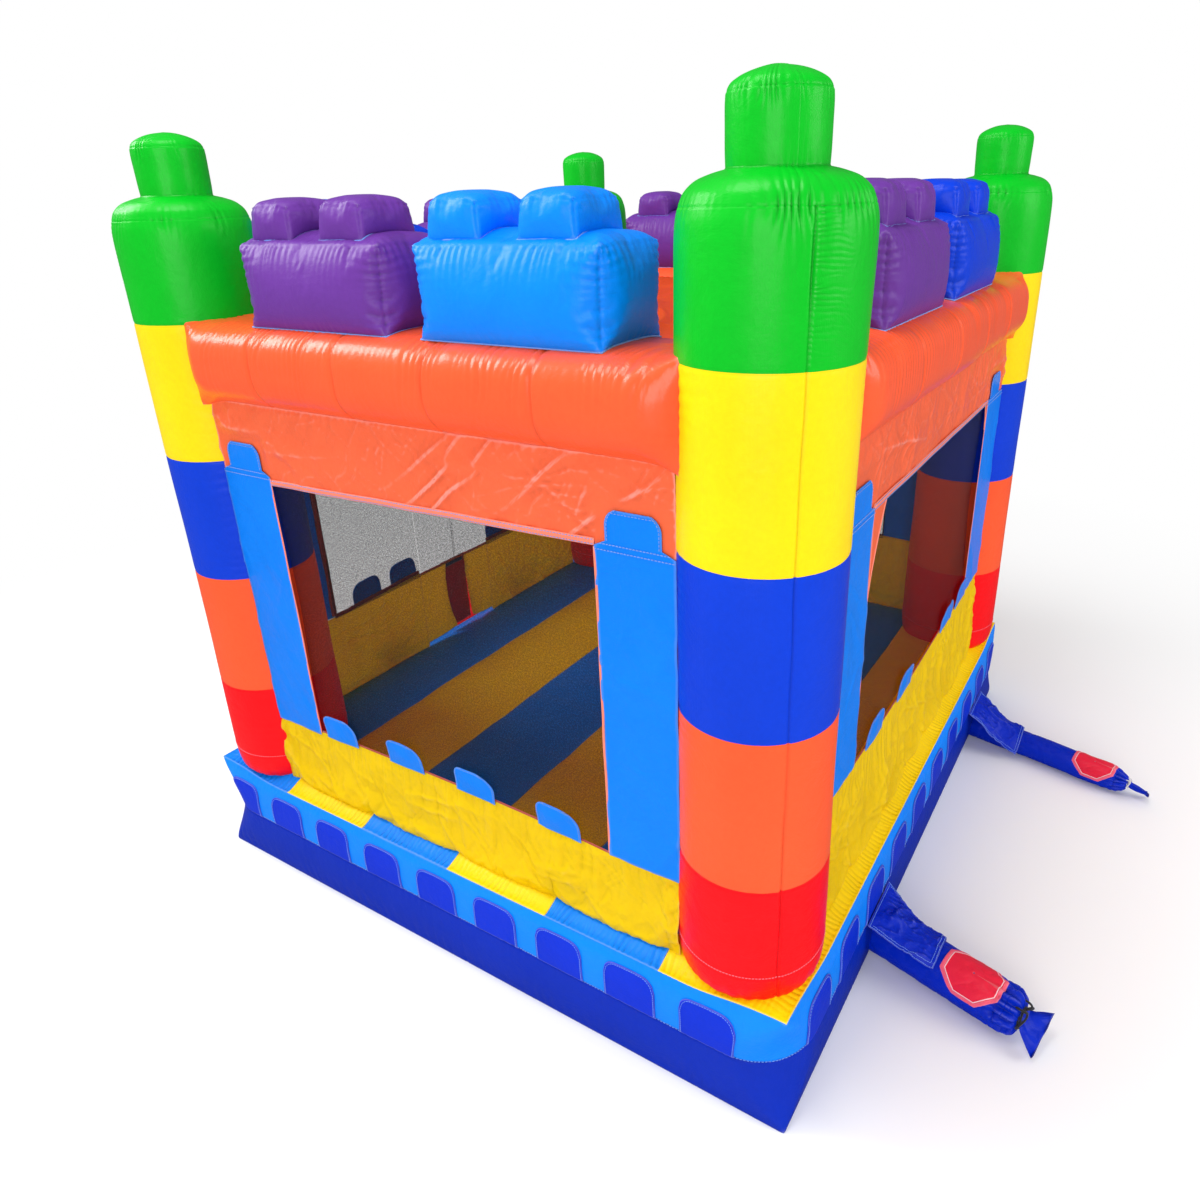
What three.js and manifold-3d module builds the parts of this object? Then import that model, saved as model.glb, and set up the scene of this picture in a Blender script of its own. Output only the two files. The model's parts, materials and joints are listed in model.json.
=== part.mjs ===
// Inflatable bounce house: an air-filled base, four corner columns, a ring of
// beams carrying toy-brick crenels, fabric and mesh walls, an entrance with two
// door flaps and a ramp, and two inflation tubes. Millimetres, +Z up.
// Origin: centre of the base's footprint, on the ground.
// -Y is the front wall, +X the side with the inflation tubes, -X the entrance.
import * as THREE from 'three';
import { mergeVertices } from 'three/addons/utils/BufferGeometryUtils.js';
import Module from 'manifold-3d';

const wasm = await Module();
wasm.setup();

// ---- driving dimensions ----
const HALF_WIDTH = 1520; // base at the ground, along X
const HALF_LENGTH = 1672; // base at the ground, along Y
const BASE_HEIGHT = 503;
const TOP_INSET = 20; // the top of the base is this much smaller all round
const SIDE_BULGE = 22; // the side of the base swells by this at half height
const MIDDLE_CORNER_RADIUS = 200; // the base's corners are sharp above and below this
const STRIPES = 6; // floor panels, side by side along X
const STRIPE_PITCH = (2 * HALF_WIDTH) / STRIPES;
const SKIN = 4; // modelled thickness of every fabric wall
const GAP = 0.3; // clearance between neighbouring pieces
const VENT_RADIUS = 50; // air holes between neighbouring chambers

const COLUMN_X = 1255;
const COLUMN_Y = 1406;
const COLUMN_RADIUS = 255;
const COLUMN_FOOT_RADIUS = 232;
const HEAD_RADIUS = 261;
const COLUMN_SIDES = 24;
const HEAD_SEAM = 2595; // where the green head starts
const SHOULDER = 2945;
const STUD_FOOT = 3052;
const STUD_RADIUS = 130;
const STUD_SEAM = 3222;
const COLUMN_TOP = 3276;

const WALL_OFFSET = 163; // wall sheets, outward from the columns' axes
const WINDOW_TOP = 2022;
const TAB_TOP = 2151;
const TAB_WIDTH = 200;
const BEAM_BOTTOM = 2280;
const BEAM_TOP = 2614;
const BEAM_SQUARENESS = 2.6; // superellipse exponent of the beam's section
const BEAM_END_REACH = 190; // outward half-depth of a beam where it meets a column
const BEAM_END_TAPER = 160; // length over which a beam draws in to that
const ROOF_HEIGHT = 2554;

const BRICK_LENGTH = 700;
const BRICK_DEPTH = 360;
const BRICK_HEIGHT = 285;
const BRICK_STUD_LENGTH = 222;
const BRICK_STUD_DEPTH = 300;
const BRICK_STUD_HEIGHT = 108;
const BRICK_STUD_SPACING = 330;

const DOOR_HALF_WIDTH = 300;
const DOOR_SLIT = 165; // opening left between the two yellow door panels
const DOOR_CLEARANCE = 6; // all round a door flap, so that it can swing
const DOOR_LIFT = 21; // door panels hang this far above the floor

const RAMP_HALF_WIDTH = 455;
const RAMP_END = 2420;
const RAMP_RAIL_WIDTH = 215;

const FLAP_WIDTH = 285;
const FLAP_LENGTH = 270;
const FLAP_HEIGHT = 262; // where a cover flap is sewn to the side of the base
const HINGE_CLEARANCE = 8;
const TUBE_SIDES = 16;

// ---- colours ----
const LIGHT_BLUE = 0x0087ff;
const ROYAL_BLUE = 0x0046dc;
const YELLOW = 0xffee14;
const ORANGE = 0xff6432;
const RED = 0xf40a1c;
const GREEN = 0x08cc33;
const PURPLE = 0x7f50aa;
const BLACK = 0x15151a;
const WHITE = 0xe8e8ea;

const house = new THREE.Group();

function addPiece(name, geometry, color, parent = house) {
  const material = new THREE.MeshStandardMaterial({ color, roughness: 0.42, metalness: 0 });
  const mesh = new THREE.Mesh(geometry, material);
  mesh.name = name;
  parent.add(mesh);
  return mesh;
}

// ---- geometry helpers ----

// Joins rings of equal point count into one closed body, with a fan at each end.
// The rings run counter-clockwise seen from the end of the list.
function loft(rings) {
  const count = rings[0].length;
  const positions = rings.flat().flatMap((p) => [p.x, p.y, p.z]);
  const triangles = [];
  for (let ring = 0; ring + 1 < rings.length; ring += 1) {
    for (let i = 0; i < count; i += 1) {
      const a = ring * count + i;
      const b = ring * count + ((i + 1) % count);
      triangles.push(a, b, b + count, a, b + count, a + count);
    }
  }
  const last = (rings.length - 1) * count;
  for (let i = 1; i + 1 < count; i += 1) {
    triangles.push(0, i + 1, i, last, last + i, last + i + 1);
  }
  const geometry = new THREE.BufferGeometry();
  geometry.setAttribute('position', new THREE.Float32BufferAttribute(positions, 3));
  geometry.setIndex(triangles);
  return geometry;
}

// A level rectangle with rounded corners, as points running counter-clockwise.
function roundedRing(halfX, halfY, radius, z, steps = 3) {
  const points = [];
  for (let corner = 0; corner < 4; corner += 1) {
    const signX = corner === 0 || corner === 3 ? 1 : -1;
    const signY = corner < 2 ? 1 : -1;
    for (let step = 0; step <= steps; step += 1) {
      const angle = (Math.PI / 2) * (corner + step / steps);
      points.push(new THREE.Vector3(
        signX * (halfX - radius) + radius * Math.cos(angle),
        signY * (halfY - radius) + radius * Math.sin(angle),
        z,
      ));
    }
  }
  return points;
}

function toSolid(geometry) {
  const bare = geometry.clone();
  bare.deleteAttribute('normal');
  bare.deleteAttribute('uv');
  const merged = mergeVertices(bare, 1e-3);
  return new wasm.Manifold(new wasm.Mesh({
    numProp: 3,
    vertProperties: new Float32Array(merged.attributes.position.array),
    triVerts: new Uint32Array(merged.index.array),
  }));
}

function fromSolid(solid) {
  const mesh = solid.getMesh();
  const geometry = new THREE.BufferGeometry();
  geometry.setAttribute('position', new THREE.BufferAttribute(mesh.vertProperties, 3));
  geometry.setIndex(new THREE.BufferAttribute(mesh.triVerts, 1));
  return geometry;
}

const cut = (body, cutters) =>
  fromSolid(cutters.reduce((solid, cutter) => solid.subtract(toSolid(cutter)), toSolid(body)));

// A plain round bar for cutting holes, centred on a point and running along an axis.
function bar(axis, radius, length, x, y, z, sides = 12) {
  const geometry = new THREE.CylinderGeometry(radius, radius, length, sides);
  if (axis === 'x') geometry.rotateZ(Math.PI / 2);
  if (axis === 'z') geometry.rotateX(Math.PI / 2);
  return geometry.translate(x, y, z);
}

// A flat panel cut from a shape in the wall's own frame: x along the wall,
// y up, and its thickness growing outward from `inner`.
function panelGeometry(shape, inner) {
  const geometry = new THREE.ExtrudeGeometry(shape, {
    depth: SKIN, bevelEnabled: false, curveSegments: 3,
  });
  return geometry.translate(0, 0, inner);
}

function rectangle(left, right, bottom, top) {
  return new THREE.Shape([
    new THREE.Vector2(left, bottom), new THREE.Vector2(right, bottom),
    new THREE.Vector2(right, top), new THREE.Vector2(left, top),
  ]);
}

// A solid of revolution about +Z, from [radius, height] pairs that run down its
// outside and back up its inside.
function turned(profile, sides) {
  const points = profile.toReversed().map(([radius, height]) => new THREE.Vector2(radius, height));
  return new THREE.LatheGeometry(points, sides).rotateX(Math.PI / 2);
}

// ---- base: an open-topped skin, floor panels over it and baffles inside ----

function baseGeometry() {
  const rim = BASE_HEIGHT - SKIN - GAP;
  const ring = (share, skin) => {
    const swell = 4 * share * (1 - share);
    const grow = SIDE_BULGE * swell - TOP_INSET * share - skin;
    return roundedRing(
      HALF_WIDTH + grow, HALF_LENGTH + grow, 12 - skin + MIDDLE_CORNER_RADIUS * swell,
      Math.max(skin, rim * share),
    );
  };
  const shares = [0, 0.2, 0.5, 0.8, 1];
  const rings = [
    ...shares.map((share) => ring(share, 0)),
    ...shares.toReversed().map((share) => ring(share, SKIN)),
  ];
  const ports = tubes.map((tube) => bar('x', VENT_RADIUS, 200, HALF_WIDTH, tube.rootY, tube.radius + 2));
  return cut(loft(rings), ports);
}

function addFloorPanels() {
  const halfX = HALF_WIDTH - TOP_INSET;
  const halfY = HALF_LENGTH - TOP_INSET;
  for (let stripe = 0; stripe < STRIPES; stripe += 1) {
    const left = Math.max(-halfX, -HALF_WIDTH + stripe * STRIPE_PITCH + GAP / 2);
    const right = Math.min(halfX, -HALF_WIDTH + (stripe + 1) * STRIPE_PITCH - GAP / 2);
    const sheet = new THREE.BoxGeometry(right - left, 2 * halfY, SKIN);
    sheet.translate((left + right) / 2, 0, BASE_HEIGHT - SKIN / 2);
    const vents = corners
      .filter((corner) => corner.x > left && corner.x < right)
      .map((corner) => bar('z', VENT_RADIUS, 100, corner.x, corner.y, BASE_HEIGHT));
    const color = stripe % 2 === 0 ? LIGHT_BLUE : YELLOW;
    addPiece(`floor_panel_${stripe + 1}`, vents.length ? cut(sheet, vents) : sheet, color);
  }
}

// Lengthwise webs hold the floor panels' seams down; two cross ties join them.
function baffleGeometry() {
  const bottom = SKIN + GAP;
  const top = BASE_HEIGHT - SKIN - 2 * GAP;
  const webLength = 2 * (HALF_LENGTH - 180);
  let grid = null;
  for (let seam = 1; seam < STRIPES; seam += 1) {
    const web = new THREE.BoxGeometry(SKIN, webLength, top - bottom);
    web.translate(-HALF_WIDTH + seam * STRIPE_PITCH, 0, (top + bottom) / 2);
    grid = grid ? grid.add(toSolid(web)) : toSolid(web);
  }
  for (const side of [-1, 1]) {
    const tie = new THREE.BoxGeometry((STRIPES - 2) * STRIPE_PITCH, SKIN, 120);
    tie.translate(0, (side * HALF_LENGTH) / 3, (top + bottom) / 2);
    grid = grid.add(toSolid(tie));
  }
  return fromSolid(grid);
}

// ---- columns ----

const corners = [
  { name: 'front_left', x: -COLUMN_X, y: -COLUMN_Y },
  { name: 'front_right', x: COLUMN_X, y: -COLUMN_Y },
  { name: 'back_left', x: -COLUMN_X, y: COLUMN_Y },
  { name: 'back_right', x: COLUMN_X, y: COLUMN_Y },
];

// A column with its head and stud is one air chamber, open at a vent in its foot.
function columnGeometry(corner) {
  const foot = BASE_HEIGHT + GAP;
  const footBulge = 90;
  const outside = [
    [0, COLUMN_TOP], [0.62 * STUD_RADIUS, COLUMN_TOP - 10], [STUD_RADIUS, STUD_SEAM],
    [STUD_RADIUS, STUD_FOOT], [0.72 * HEAD_RADIUS, STUD_FOOT - 38], [HEAD_RADIUS - 18, SHOULDER + 30],
    [HEAD_RADIUS, SHOULDER - 40], [COLUMN_RADIUS, HEAD_SEAM], [COLUMN_RADIUS, foot + footBulge],
    [COLUMN_FOOT_RADIUS, foot],
  ];
  const inside = [
    [VENT_RADIUS, foot], [VENT_RADIUS, foot + SKIN], [COLUMN_FOOT_RADIUS - SKIN, foot + SKIN],
    [COLUMN_RADIUS - SKIN, foot + footBulge], [COLUMN_RADIUS - SKIN, SHOULDER - 40],
    [STUD_RADIUS - SKIN, STUD_FOOT - 38], [STUD_RADIUS - SKIN, STUD_SEAM - SKIN], [0, STUD_SEAM - SKIN],
  ];
  const body = turned([...outside, ...inside], COLUMN_SIDES);
  const height = (BEAM_BOTTOM + BEAM_TOP) / 2;
  const vents = [
    bar('x', VENT_RADIUS, COLUMN_RADIUS + 40, -Math.sign(corner.x) * COLUMN_RADIUS, 0, height),
    bar('y', VENT_RADIUS, COLUMN_RADIUS + 40, 0, -Math.sign(corner.y) * COLUMN_RADIUS, height),
  ];
  return cut(body, vents).translate(corner.x, corner.y, 0);
}

// ---- walls, beams and bricks, one set for each side of the house ----
// Each side is built in its own frame: x along the wall, y up, z outward.

const sides = [
  { name: 'front', turn: 0, halfSpan: COLUMN_X, reach: COLUMN_Y, sill: 828, windowHalf: 775,
    bricks: [{ at: -360, color: PURPLE }, { at: 485, color: LIGHT_BLUE }] },
  { name: 'right', turn: 1, halfSpan: COLUMN_Y, reach: COLUMN_X, sill: 1005, windowHalf: 836,
    bricks: [{ at: -562, color: PURPLE }, { at: 304, color: ROYAL_BLUE }] },
  { name: 'back', turn: 2, halfSpan: COLUMN_X, reach: COLUMN_Y, sill: 975, windowHalf: 775,
    bricks: [{ at: -304, color: LIGHT_BLUE }, { at: 532, color: PURPLE }] },
  { name: 'left', turn: 3, halfSpan: COLUMN_Y, reach: COLUMN_X, sill: 975, windowHalf: 836,
    bricks: [{ at: -304, color: PURPLE }, { at: 562, color: ROYAL_BLUE }] },
];

// Height of the beam's skin above or below its centre, at a depth from its axis.
function beamHalfHeight(depth) {
  const share = Math.abs(depth) / COLUMN_RADIUS;
  return ((BEAM_TOP - BEAM_BOTTOM) / 2) * (1 - share ** BEAM_SQUARENESS) ** (1 / BEAM_SQUARENESS);
}

function beamRing(x, shrink, outside) {
  const points = [];
  const count = 16;
  for (let i = 0; i < count; i += 1) {
    const angle = (2 * Math.PI * i) / count;
    const bend = (value) => Math.sign(value) * Math.abs(value) ** (2 / BEAM_SQUARENESS);
    const reach = Math.sin(angle) > 0 ? outside : COLUMN_RADIUS;
    points.push(new THREE.Vector3(
      x,
      (BEAM_TOP + BEAM_BOTTOM) / 2 + ((BEAM_TOP - BEAM_BOTTOM) / 2 - shrink) * bend(Math.cos(angle)),
      (reach - shrink) * bend(Math.sin(angle)),
    ));
  }
  return points;
}

// A hollow beam, open at both ends where it meets the columns, mitred inside the
// corner against its neighbour and scooped to fit the columns' round sides.
function beamGeometry(side) {
  const end = side.halfSpan - 40;
  const full = end - BEAM_END_TAPER;
  const tube = (extra, shrink) => toSolid(loft([
    beamRing(-end - extra, shrink, BEAM_END_REACH), beamRing(-full, shrink, COLUMN_RADIUS),
    beamRing(full, shrink, COLUMN_RADIUS), beamRing(end + extra, shrink, BEAM_END_REACH),
  ]));
  const outer = tube(0, 0);
  const inner = tube(50, SKIN);
  const mitre = new THREE.Shape([
    new THREE.Vector2(-end, COLUMN_RADIUS + 50), new THREE.Vector2(-end, 40 - 2 * GAP),
    new THREE.Vector2(-side.halfSpan + 400, -400 + 2 * GAP),
    new THREE.Vector2(side.halfSpan - 400, -400 + 2 * GAP),
    new THREE.Vector2(end, 40 - 2 * GAP), new THREE.Vector2(end, COLUMN_RADIUS + 50),
  ].map((point) => new THREE.Vector2(point.x, -point.y)));
  const block = new THREE.ExtrudeGeometry(mitre, { depth: 1000, bevelEnabled: false });
  block.rotateX(-Math.PI / 2).translate(0, BEAM_BOTTOM - 300, 0);
  let beam = outer.subtract(inner).intersect(toSolid(block));
  const clearRadius = COLUMN_RADIUS + 2;
  for (const sign of [-1, 1]) {
    beam = beam.subtract(toSolid(
      bar('y', clearRadius, 1000, sign * side.halfSpan, BEAM_BOTTOM, 0, COLUMN_SIDES),
    ));
  }
  for (const brick of side.bricks) {
    beam = beam.subtract(toSolid(bar('y', VENT_RADIUS, 60, brick.at, BEAM_TOP, 0)));
  }
  return fromSolid(beam);
}

// One level ring of a brick's block, in the wall's frame.
function brickRing(halfLength, halfDepth, chamfer, y) {
  return roundedRing(halfLength, halfDepth, chamfer, 0, 1)
    .map((point) => new THREE.Vector3(point.x, y, -point.y));
}

function brickBlock(halfLength, halfDepth, bottom, top, edge) {
  return loft([
    brickRing(halfLength - edge, halfDepth - edge, edge, bottom),
    brickRing(halfLength, halfDepth, edge, bottom + edge),
    brickRing(halfLength, halfDepth, edge, top - edge),
    brickRing(halfLength - edge, halfDepth - edge, edge, top),
  ]);
}

// A hollow toy brick: a block with two studs, open to the beam through a vent.
function brickGeometry(at) {
  const layer = (shrink) => {
    const bottom = BEAM_TOP + GAP + shrink;
    const top = BEAM_TOP + BRICK_HEIGHT - shrink;
    let solid = toSolid(brickBlock(BRICK_LENGTH / 2 - shrink, BRICK_DEPTH / 2 - shrink, bottom, top, 40));
    for (const sign of [-1, 1]) {
      const stud = brickBlock(
        BRICK_STUD_LENGTH / 2 - shrink, BRICK_STUD_DEPTH / 2 - shrink,
        top - 60, top + BRICK_STUD_HEIGHT, 28,
      );
      solid = solid.add(toSolid(stud.translate((sign * BRICK_STUD_SPACING) / 2, 0, 0)));
    }
    return solid;
  };
  const vent = toSolid(bar('y', VENT_RADIUS, 60, 0, BEAM_TOP, 0));
  return fromSolid(layer(0).subtract(layer(SKIN)).subtract(vent)).translate(at, 0, 0);
}

// A light-blue strip beside a window, with a rounded tab lapping over the header.
function stripShape(inner, outer, bottom) {
  const middle = (inner + outer) / 2 + 5;
  const left = middle - TAB_WIDTH / 2;
  const right = middle + TAB_WIDTH / 2;
  const corner = 45;
  const shape = new THREE.Shape();
  shape.moveTo(inner, bottom);
  shape.lineTo(outer, bottom);
  shape.lineTo(outer, WINDOW_TOP + 15);
  shape.lineTo(right, WINDOW_TOP + 15);
  shape.lineTo(right, TAB_TOP - corner);
  shape.absarc(right - corner, TAB_TOP - corner, corner, 0, Math.PI / 2);
  shape.lineTo(left + corner, TAB_TOP);
  shape.absarc(left + corner, TAB_TOP - corner, corner, Math.PI / 2, Math.PI);
  shape.lineTo(left, WINDOW_TOP + 15);
  shape.lineTo(inner, WINDOW_TOP + 15);
  shape.closePath();
  return shape;
}

function addWalls(side, frame) {
  const wallInner = WALL_OFFSET - SKIN / 2;
  const edge = side.halfSpan - Math.sqrt((COLUMN_RADIUS + 2) ** 2 - wallInner ** 2);
  const floor = BASE_HEIGHT + GAP;
  const headerTop = (BEAM_TOP + BEAM_BOTTOM) / 2 - beamHalfHeight(wallInner) - 2;
  const add = (name, shape, color, inner = wallInner) =>
    addPiece(name, panelGeometry(shape, inner), color, frame);

  add(`header_${side.name}`, rectangle(-edge, edge, WINDOW_TOP + GAP, headerTop), ORANGE);
  const spans = side.name === 'left'
    ? [['_front', DOOR_HALF_WIDTH, 1], ['_back', DOOR_HALF_WIDTH, -1]]
    : [['', 0, 1]];
  for (const [part, gap, sign] of spans) {
    const wall = gap
      ? [sign * gap, sign * edge].sort((a, b) => a - b)
      : [-edge, edge];
    const window = gap
      ? [sign * gap, sign * (side.windowHalf - GAP)].sort((a, b) => a - b)
      : [-side.windowHalf + GAP, side.windowHalf - GAP];
    add(`low_wall_${side.name}${part}`, rectangle(...wall, floor, side.sill), YELLOW);
    add(`window_mesh_${side.name}${part}`, rectangle(...window, side.sill + GAP, WINDOW_TOP), BLACK);
  }
  for (const [index, sign] of [-1, 1].entries()) {
    const geometry = panelGeometry(
      stripShape(side.windowHalf, edge, side.sill + GAP), wallInner + SKIN + GAP,
    );
    if (sign < 0) geometry.rotateY(Math.PI).translate(0, 0, 2 * wallInner + 3 * SKIN + 2 * GAP);
    addPiece(`wall_strip_${side.name}_${index + 1}`, geometry, LIGHT_BLUE, frame);
  }
}

function addSide(side) {
  const upright = new THREE.Group(); // wall frame: y up, z outward
  upright.rotation.x = Math.PI / 2;
  upright.position.y = -side.reach;
  const frame = new THREE.Group();
  frame.rotation.z = (side.turn * Math.PI) / 2;
  frame.add(upright);
  house.add(frame);
  addPiece(`beam_${side.name}`, beamGeometry(side), ORANGE, upright);
  side.bricks.forEach((brick, index) => {
    addPiece(`brick_${side.name}_${index + 1}`, brickGeometry(brick.at), brick.color, upright);
  });
  addWalls(side, upright);
  if (side.name === 'left') addDoor(side, upright);
}

// ---- entrance: door flaps and ramp ----

// Each flap hangs from a vertical seam at the edge of the entrance; its yellow
// panel stops short of the middle, and its mesh meets the other flap's.
function addDoor(side, frame) {
  const inner = WALL_OFFSET - SKIN / 2;
  const hinge = DOOR_HALF_WIDTH - DOOR_CLEARANCE;
  for (const [part, sign] of [['front', 1], ['back', -1]]) {
    const reach = (from, to) => [sign * from, sign * to].sort((a, b) => a - b);
    const panel = rectangle(...reach(DOOR_SLIT / 2, hinge), BASE_HEIGHT + DOOR_LIFT, side.sill);
    const net = rectangle(...reach(2, hinge), side.sill + GAP, WINDOW_TOP - DOOR_CLEARANCE);
    addPiece(`door_panel_${part}`, panelGeometry(panel, inner), YELLOW, frame);
    addPiece(`door_mesh_${part}`, panelGeometry(net, inner), BLACK, frame);
  }
}

// The ramp's side view runs from the base down to the ground.
function addRamp() {
  const start = HALF_WIDTH + SIDE_BULGE + GAP;
  const length = RAMP_END - start;
  const slope = (rise, drop, nose) => {
    const shape = new THREE.Shape();
    shape.moveTo(0, 0);
    shape.lineTo(length - nose, 0);
    shape.absarc(length - nose, nose, nose, -Math.PI / 2, Math.PI / 3);
    shape.lineTo(60, rise);
    shape.absarc(60, rise - drop, drop, Math.PI / 2, Math.PI / 2 + 0.9);
    shape.lineTo(0, rise - 90);
    shape.closePath();
    return shape;
  };
  const place = (shape, width, y) => {
    const geometry = new THREE.ExtrudeGeometry(shape, {
      depth: width, bevelEnabled: false, curveSegments: 6,
    });
    geometry.rotateX(Math.PI / 2).rotateZ(Math.PI);
    return geometry.translate(-start, y - width / 2, 0);
  };
  addPiece('ramp', place(slope(440, 60, 60), 2 * RAMP_HALF_WIDTH, 0), RED);
  for (const [part, sign] of [['front', -1], ['back', 1]]) {
    const y = sign * (RAMP_HALF_WIDTH + GAP + RAMP_RAIL_WIDTH / 2);
    addPiece(`ramp_rail_${part}`, place(slope(820, 60, 150), RAMP_RAIL_WIDTH, y), RED);
  }
}

// ---- inflation tubes ----

const tubes = [
  { name: 'near', rootX: 1647, rootY: -734, heading: -0.255, length: 580, radius: 98, flapY: -740 },
  { name: 'far', rootX: 1622, rootY: 1109, heading: -0.226, length: 810, radius: 71, flapY: 1050 },
];

// A soft tube lying on the ground: open at the rounded root, tied shut at the end.
function addTube(tube) {
  const { radius, length } = tube;
  const neck = 0.3 * radius;
  const neckAt = length - 0.75 * radius;
  const outline = [
    [0, length], [0.5 * radius, length - 4], [neck, neckAt + 14], [neck, neckAt - 14],
    [0.75 * radius, neckAt - 0.4 * radius], [radius, neckAt - 0.9 * radius],
    [radius, 0], [0.8 * radius, -0.58 * radius], [0.5 * radius, -0.84 * radius],
  ];
  const hollow = [
    [0.5 * radius - SKIN, -0.84 * radius + SKIN], [0.8 * radius - SKIN, -0.58 * radius + SKIN],
    [radius - SKIN, 0], [radius - SKIN, neckAt - 0.9 * radius],
    [0.75 * radius - SKIN, neckAt - 0.4 * radius], [0, neckAt - 0.3 * radius],
  ];
  const heading = new THREE.Group();
  heading.position.set(tube.rootX, tube.rootY, radius + 2);
  heading.rotation.z = tube.heading;
  const pose = new THREE.Group(); // +Z of this frame runs along the tube
  pose.rotation.y = Math.PI / 2;
  heading.add(pose);
  house.add(heading);
  addPiece(`inflation_tube_${tube.name}`, turned([...outline, ...hollow], TUBE_SIDES), ROYAL_BLUE, pose);
  const cord = [
    [neck + GAP, neckAt + 9], [neck + 8, neckAt + 9], [neck + 8, neckAt - 9], [neck + GAP, neckAt - 9],
    [neck + GAP, neckAt + 9],
  ];
  addPiece(`tube_tie_${tube.name}`, turned(cord, TUBE_SIDES), tube.name === 'near' ? BLACK : WHITE, pose);
}

// A fabric flap sewn to the base above a tube's root, sloping out over the tube.
function addCoverFlap(tube) {
  const sheet = new THREE.Shape([
    new THREE.Vector2(0, 0), new THREE.Vector2(FLAP_LENGTH, -28),
    new THREE.Vector2(FLAP_LENGTH, -28 + SKIN), new THREE.Vector2(0, SKIN),
  ]);
  const geometry = new THREE.ExtrudeGeometry(sheet, { depth: FLAP_WIDTH, bevelEnabled: false });
  geometry.rotateX(Math.PI / 2).translate(HALF_WIDTH + SIDE_BULGE + HINGE_CLEARANCE, FLAP_WIDTH / 2, 0);
  geometry.translate(0, tube.flapY, FLAP_HEIGHT - 2);
  addPiece(`cover_flap_${tube.name}`, geometry, ROYAL_BLUE);
}

// ---- assembly ----

addPiece('base_skin', baseGeometry(), ROYAL_BLUE);
addPiece('floor_baffles', baffleGeometry(), WHITE);
addFloorPanels();
for (const corner of corners) {
  addPiece(`column_${corner.name}`, columnGeometry(corner), GREEN);
}
sides.forEach(addSide);
const roofHalfX = COLUMN_X - COLUMN_RADIUS - 4;
const roofHalfY = COLUMN_Y - COLUMN_RADIUS - 4;
const roof = new THREE.BoxGeometry(2 * roofHalfX, 2 * roofHalfY, SKIN);
addPiece('roof_sheet', roof.translate(0, 0, ROOF_HEIGHT), ORANGE);
addRamp();
tubes.forEach(addTube);
tubes.forEach(addCoverFlap);

export default house;
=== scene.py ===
import json
import math

import bpy
import numpy as np
from mathutils import Matrix, Vector
from mathutils.bvhtree import BVHTree


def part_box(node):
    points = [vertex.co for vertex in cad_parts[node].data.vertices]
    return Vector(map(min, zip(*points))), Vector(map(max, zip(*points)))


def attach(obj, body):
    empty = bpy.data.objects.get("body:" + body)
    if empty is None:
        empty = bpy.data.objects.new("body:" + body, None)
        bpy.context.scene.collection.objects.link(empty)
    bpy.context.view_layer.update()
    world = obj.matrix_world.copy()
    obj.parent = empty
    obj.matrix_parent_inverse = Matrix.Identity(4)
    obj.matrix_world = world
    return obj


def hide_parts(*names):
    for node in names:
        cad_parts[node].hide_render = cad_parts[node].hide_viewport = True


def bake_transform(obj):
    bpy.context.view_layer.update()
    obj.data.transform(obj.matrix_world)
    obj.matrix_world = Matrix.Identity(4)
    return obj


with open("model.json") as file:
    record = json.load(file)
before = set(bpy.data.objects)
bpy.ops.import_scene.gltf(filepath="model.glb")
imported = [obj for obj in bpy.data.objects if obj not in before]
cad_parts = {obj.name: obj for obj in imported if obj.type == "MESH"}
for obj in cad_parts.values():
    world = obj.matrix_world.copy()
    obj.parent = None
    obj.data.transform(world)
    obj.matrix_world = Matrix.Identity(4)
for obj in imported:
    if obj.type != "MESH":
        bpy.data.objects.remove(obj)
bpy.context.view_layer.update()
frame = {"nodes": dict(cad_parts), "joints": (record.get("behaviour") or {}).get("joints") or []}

# ---------------------------------------------------------------- dimensions
# Metres, in the frame's axes: +Z up, -Y front wall, +X side with the tubes.

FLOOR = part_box("floor_panel_1")[1].z
TOP_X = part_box("floor_panel_6")[1].x
TOP_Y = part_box("floor_panel_6")[1].y
GROUND_INSET = 0.020  # the base is this much bigger at the ground than at the top
SIDE_BULGE = 0.020
CORNER_RADIUS = 0.235  # of the base, at half height
STRIPES = 6
STRIPE_PITCH = 2 * (TOP_X + GROUND_INSET) / STRIPES
BAND_SEAM = 0.255  # height of the seam round the middle of the base

COLUMN_LOW, COLUMN_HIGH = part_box("column_front_right")
COLUMN_X = (COLUMN_LOW.x + COLUMN_HIGH.x) / 2
COLUMN_Y = -(COLUMN_LOW.y + COLUMN_HIGH.y) / 2
COLUMN_RADIUS = 0.255
COLUMN_TOP = COLUMN_HIGH.z
BAND_HEIGHTS = (0.977, 1.528, 2.052, 2.595)
SHOULDER_SEAM = 2.970
STUD_FOOT = 3.052
STUD_SEAM = 3.222

BEAM_LOW, BEAM_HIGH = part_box("beam_front")
HEADER_LOW, HEADER_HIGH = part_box("header_front")
WINDOW_TOP = HEADER_LOW.z
WALL_OFFSET = -COLUMN_Y - (HEADER_LOW.y + HEADER_HIGH.y) / 2
TAB_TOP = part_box("wall_strip_front_1")[1].z
TAB_WIDTH = 0.200
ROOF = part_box("roof_sheet")[1].z
FABRIC = 0.003  # thickness of a single layer of coated fabric
NET = 0.0008

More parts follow.
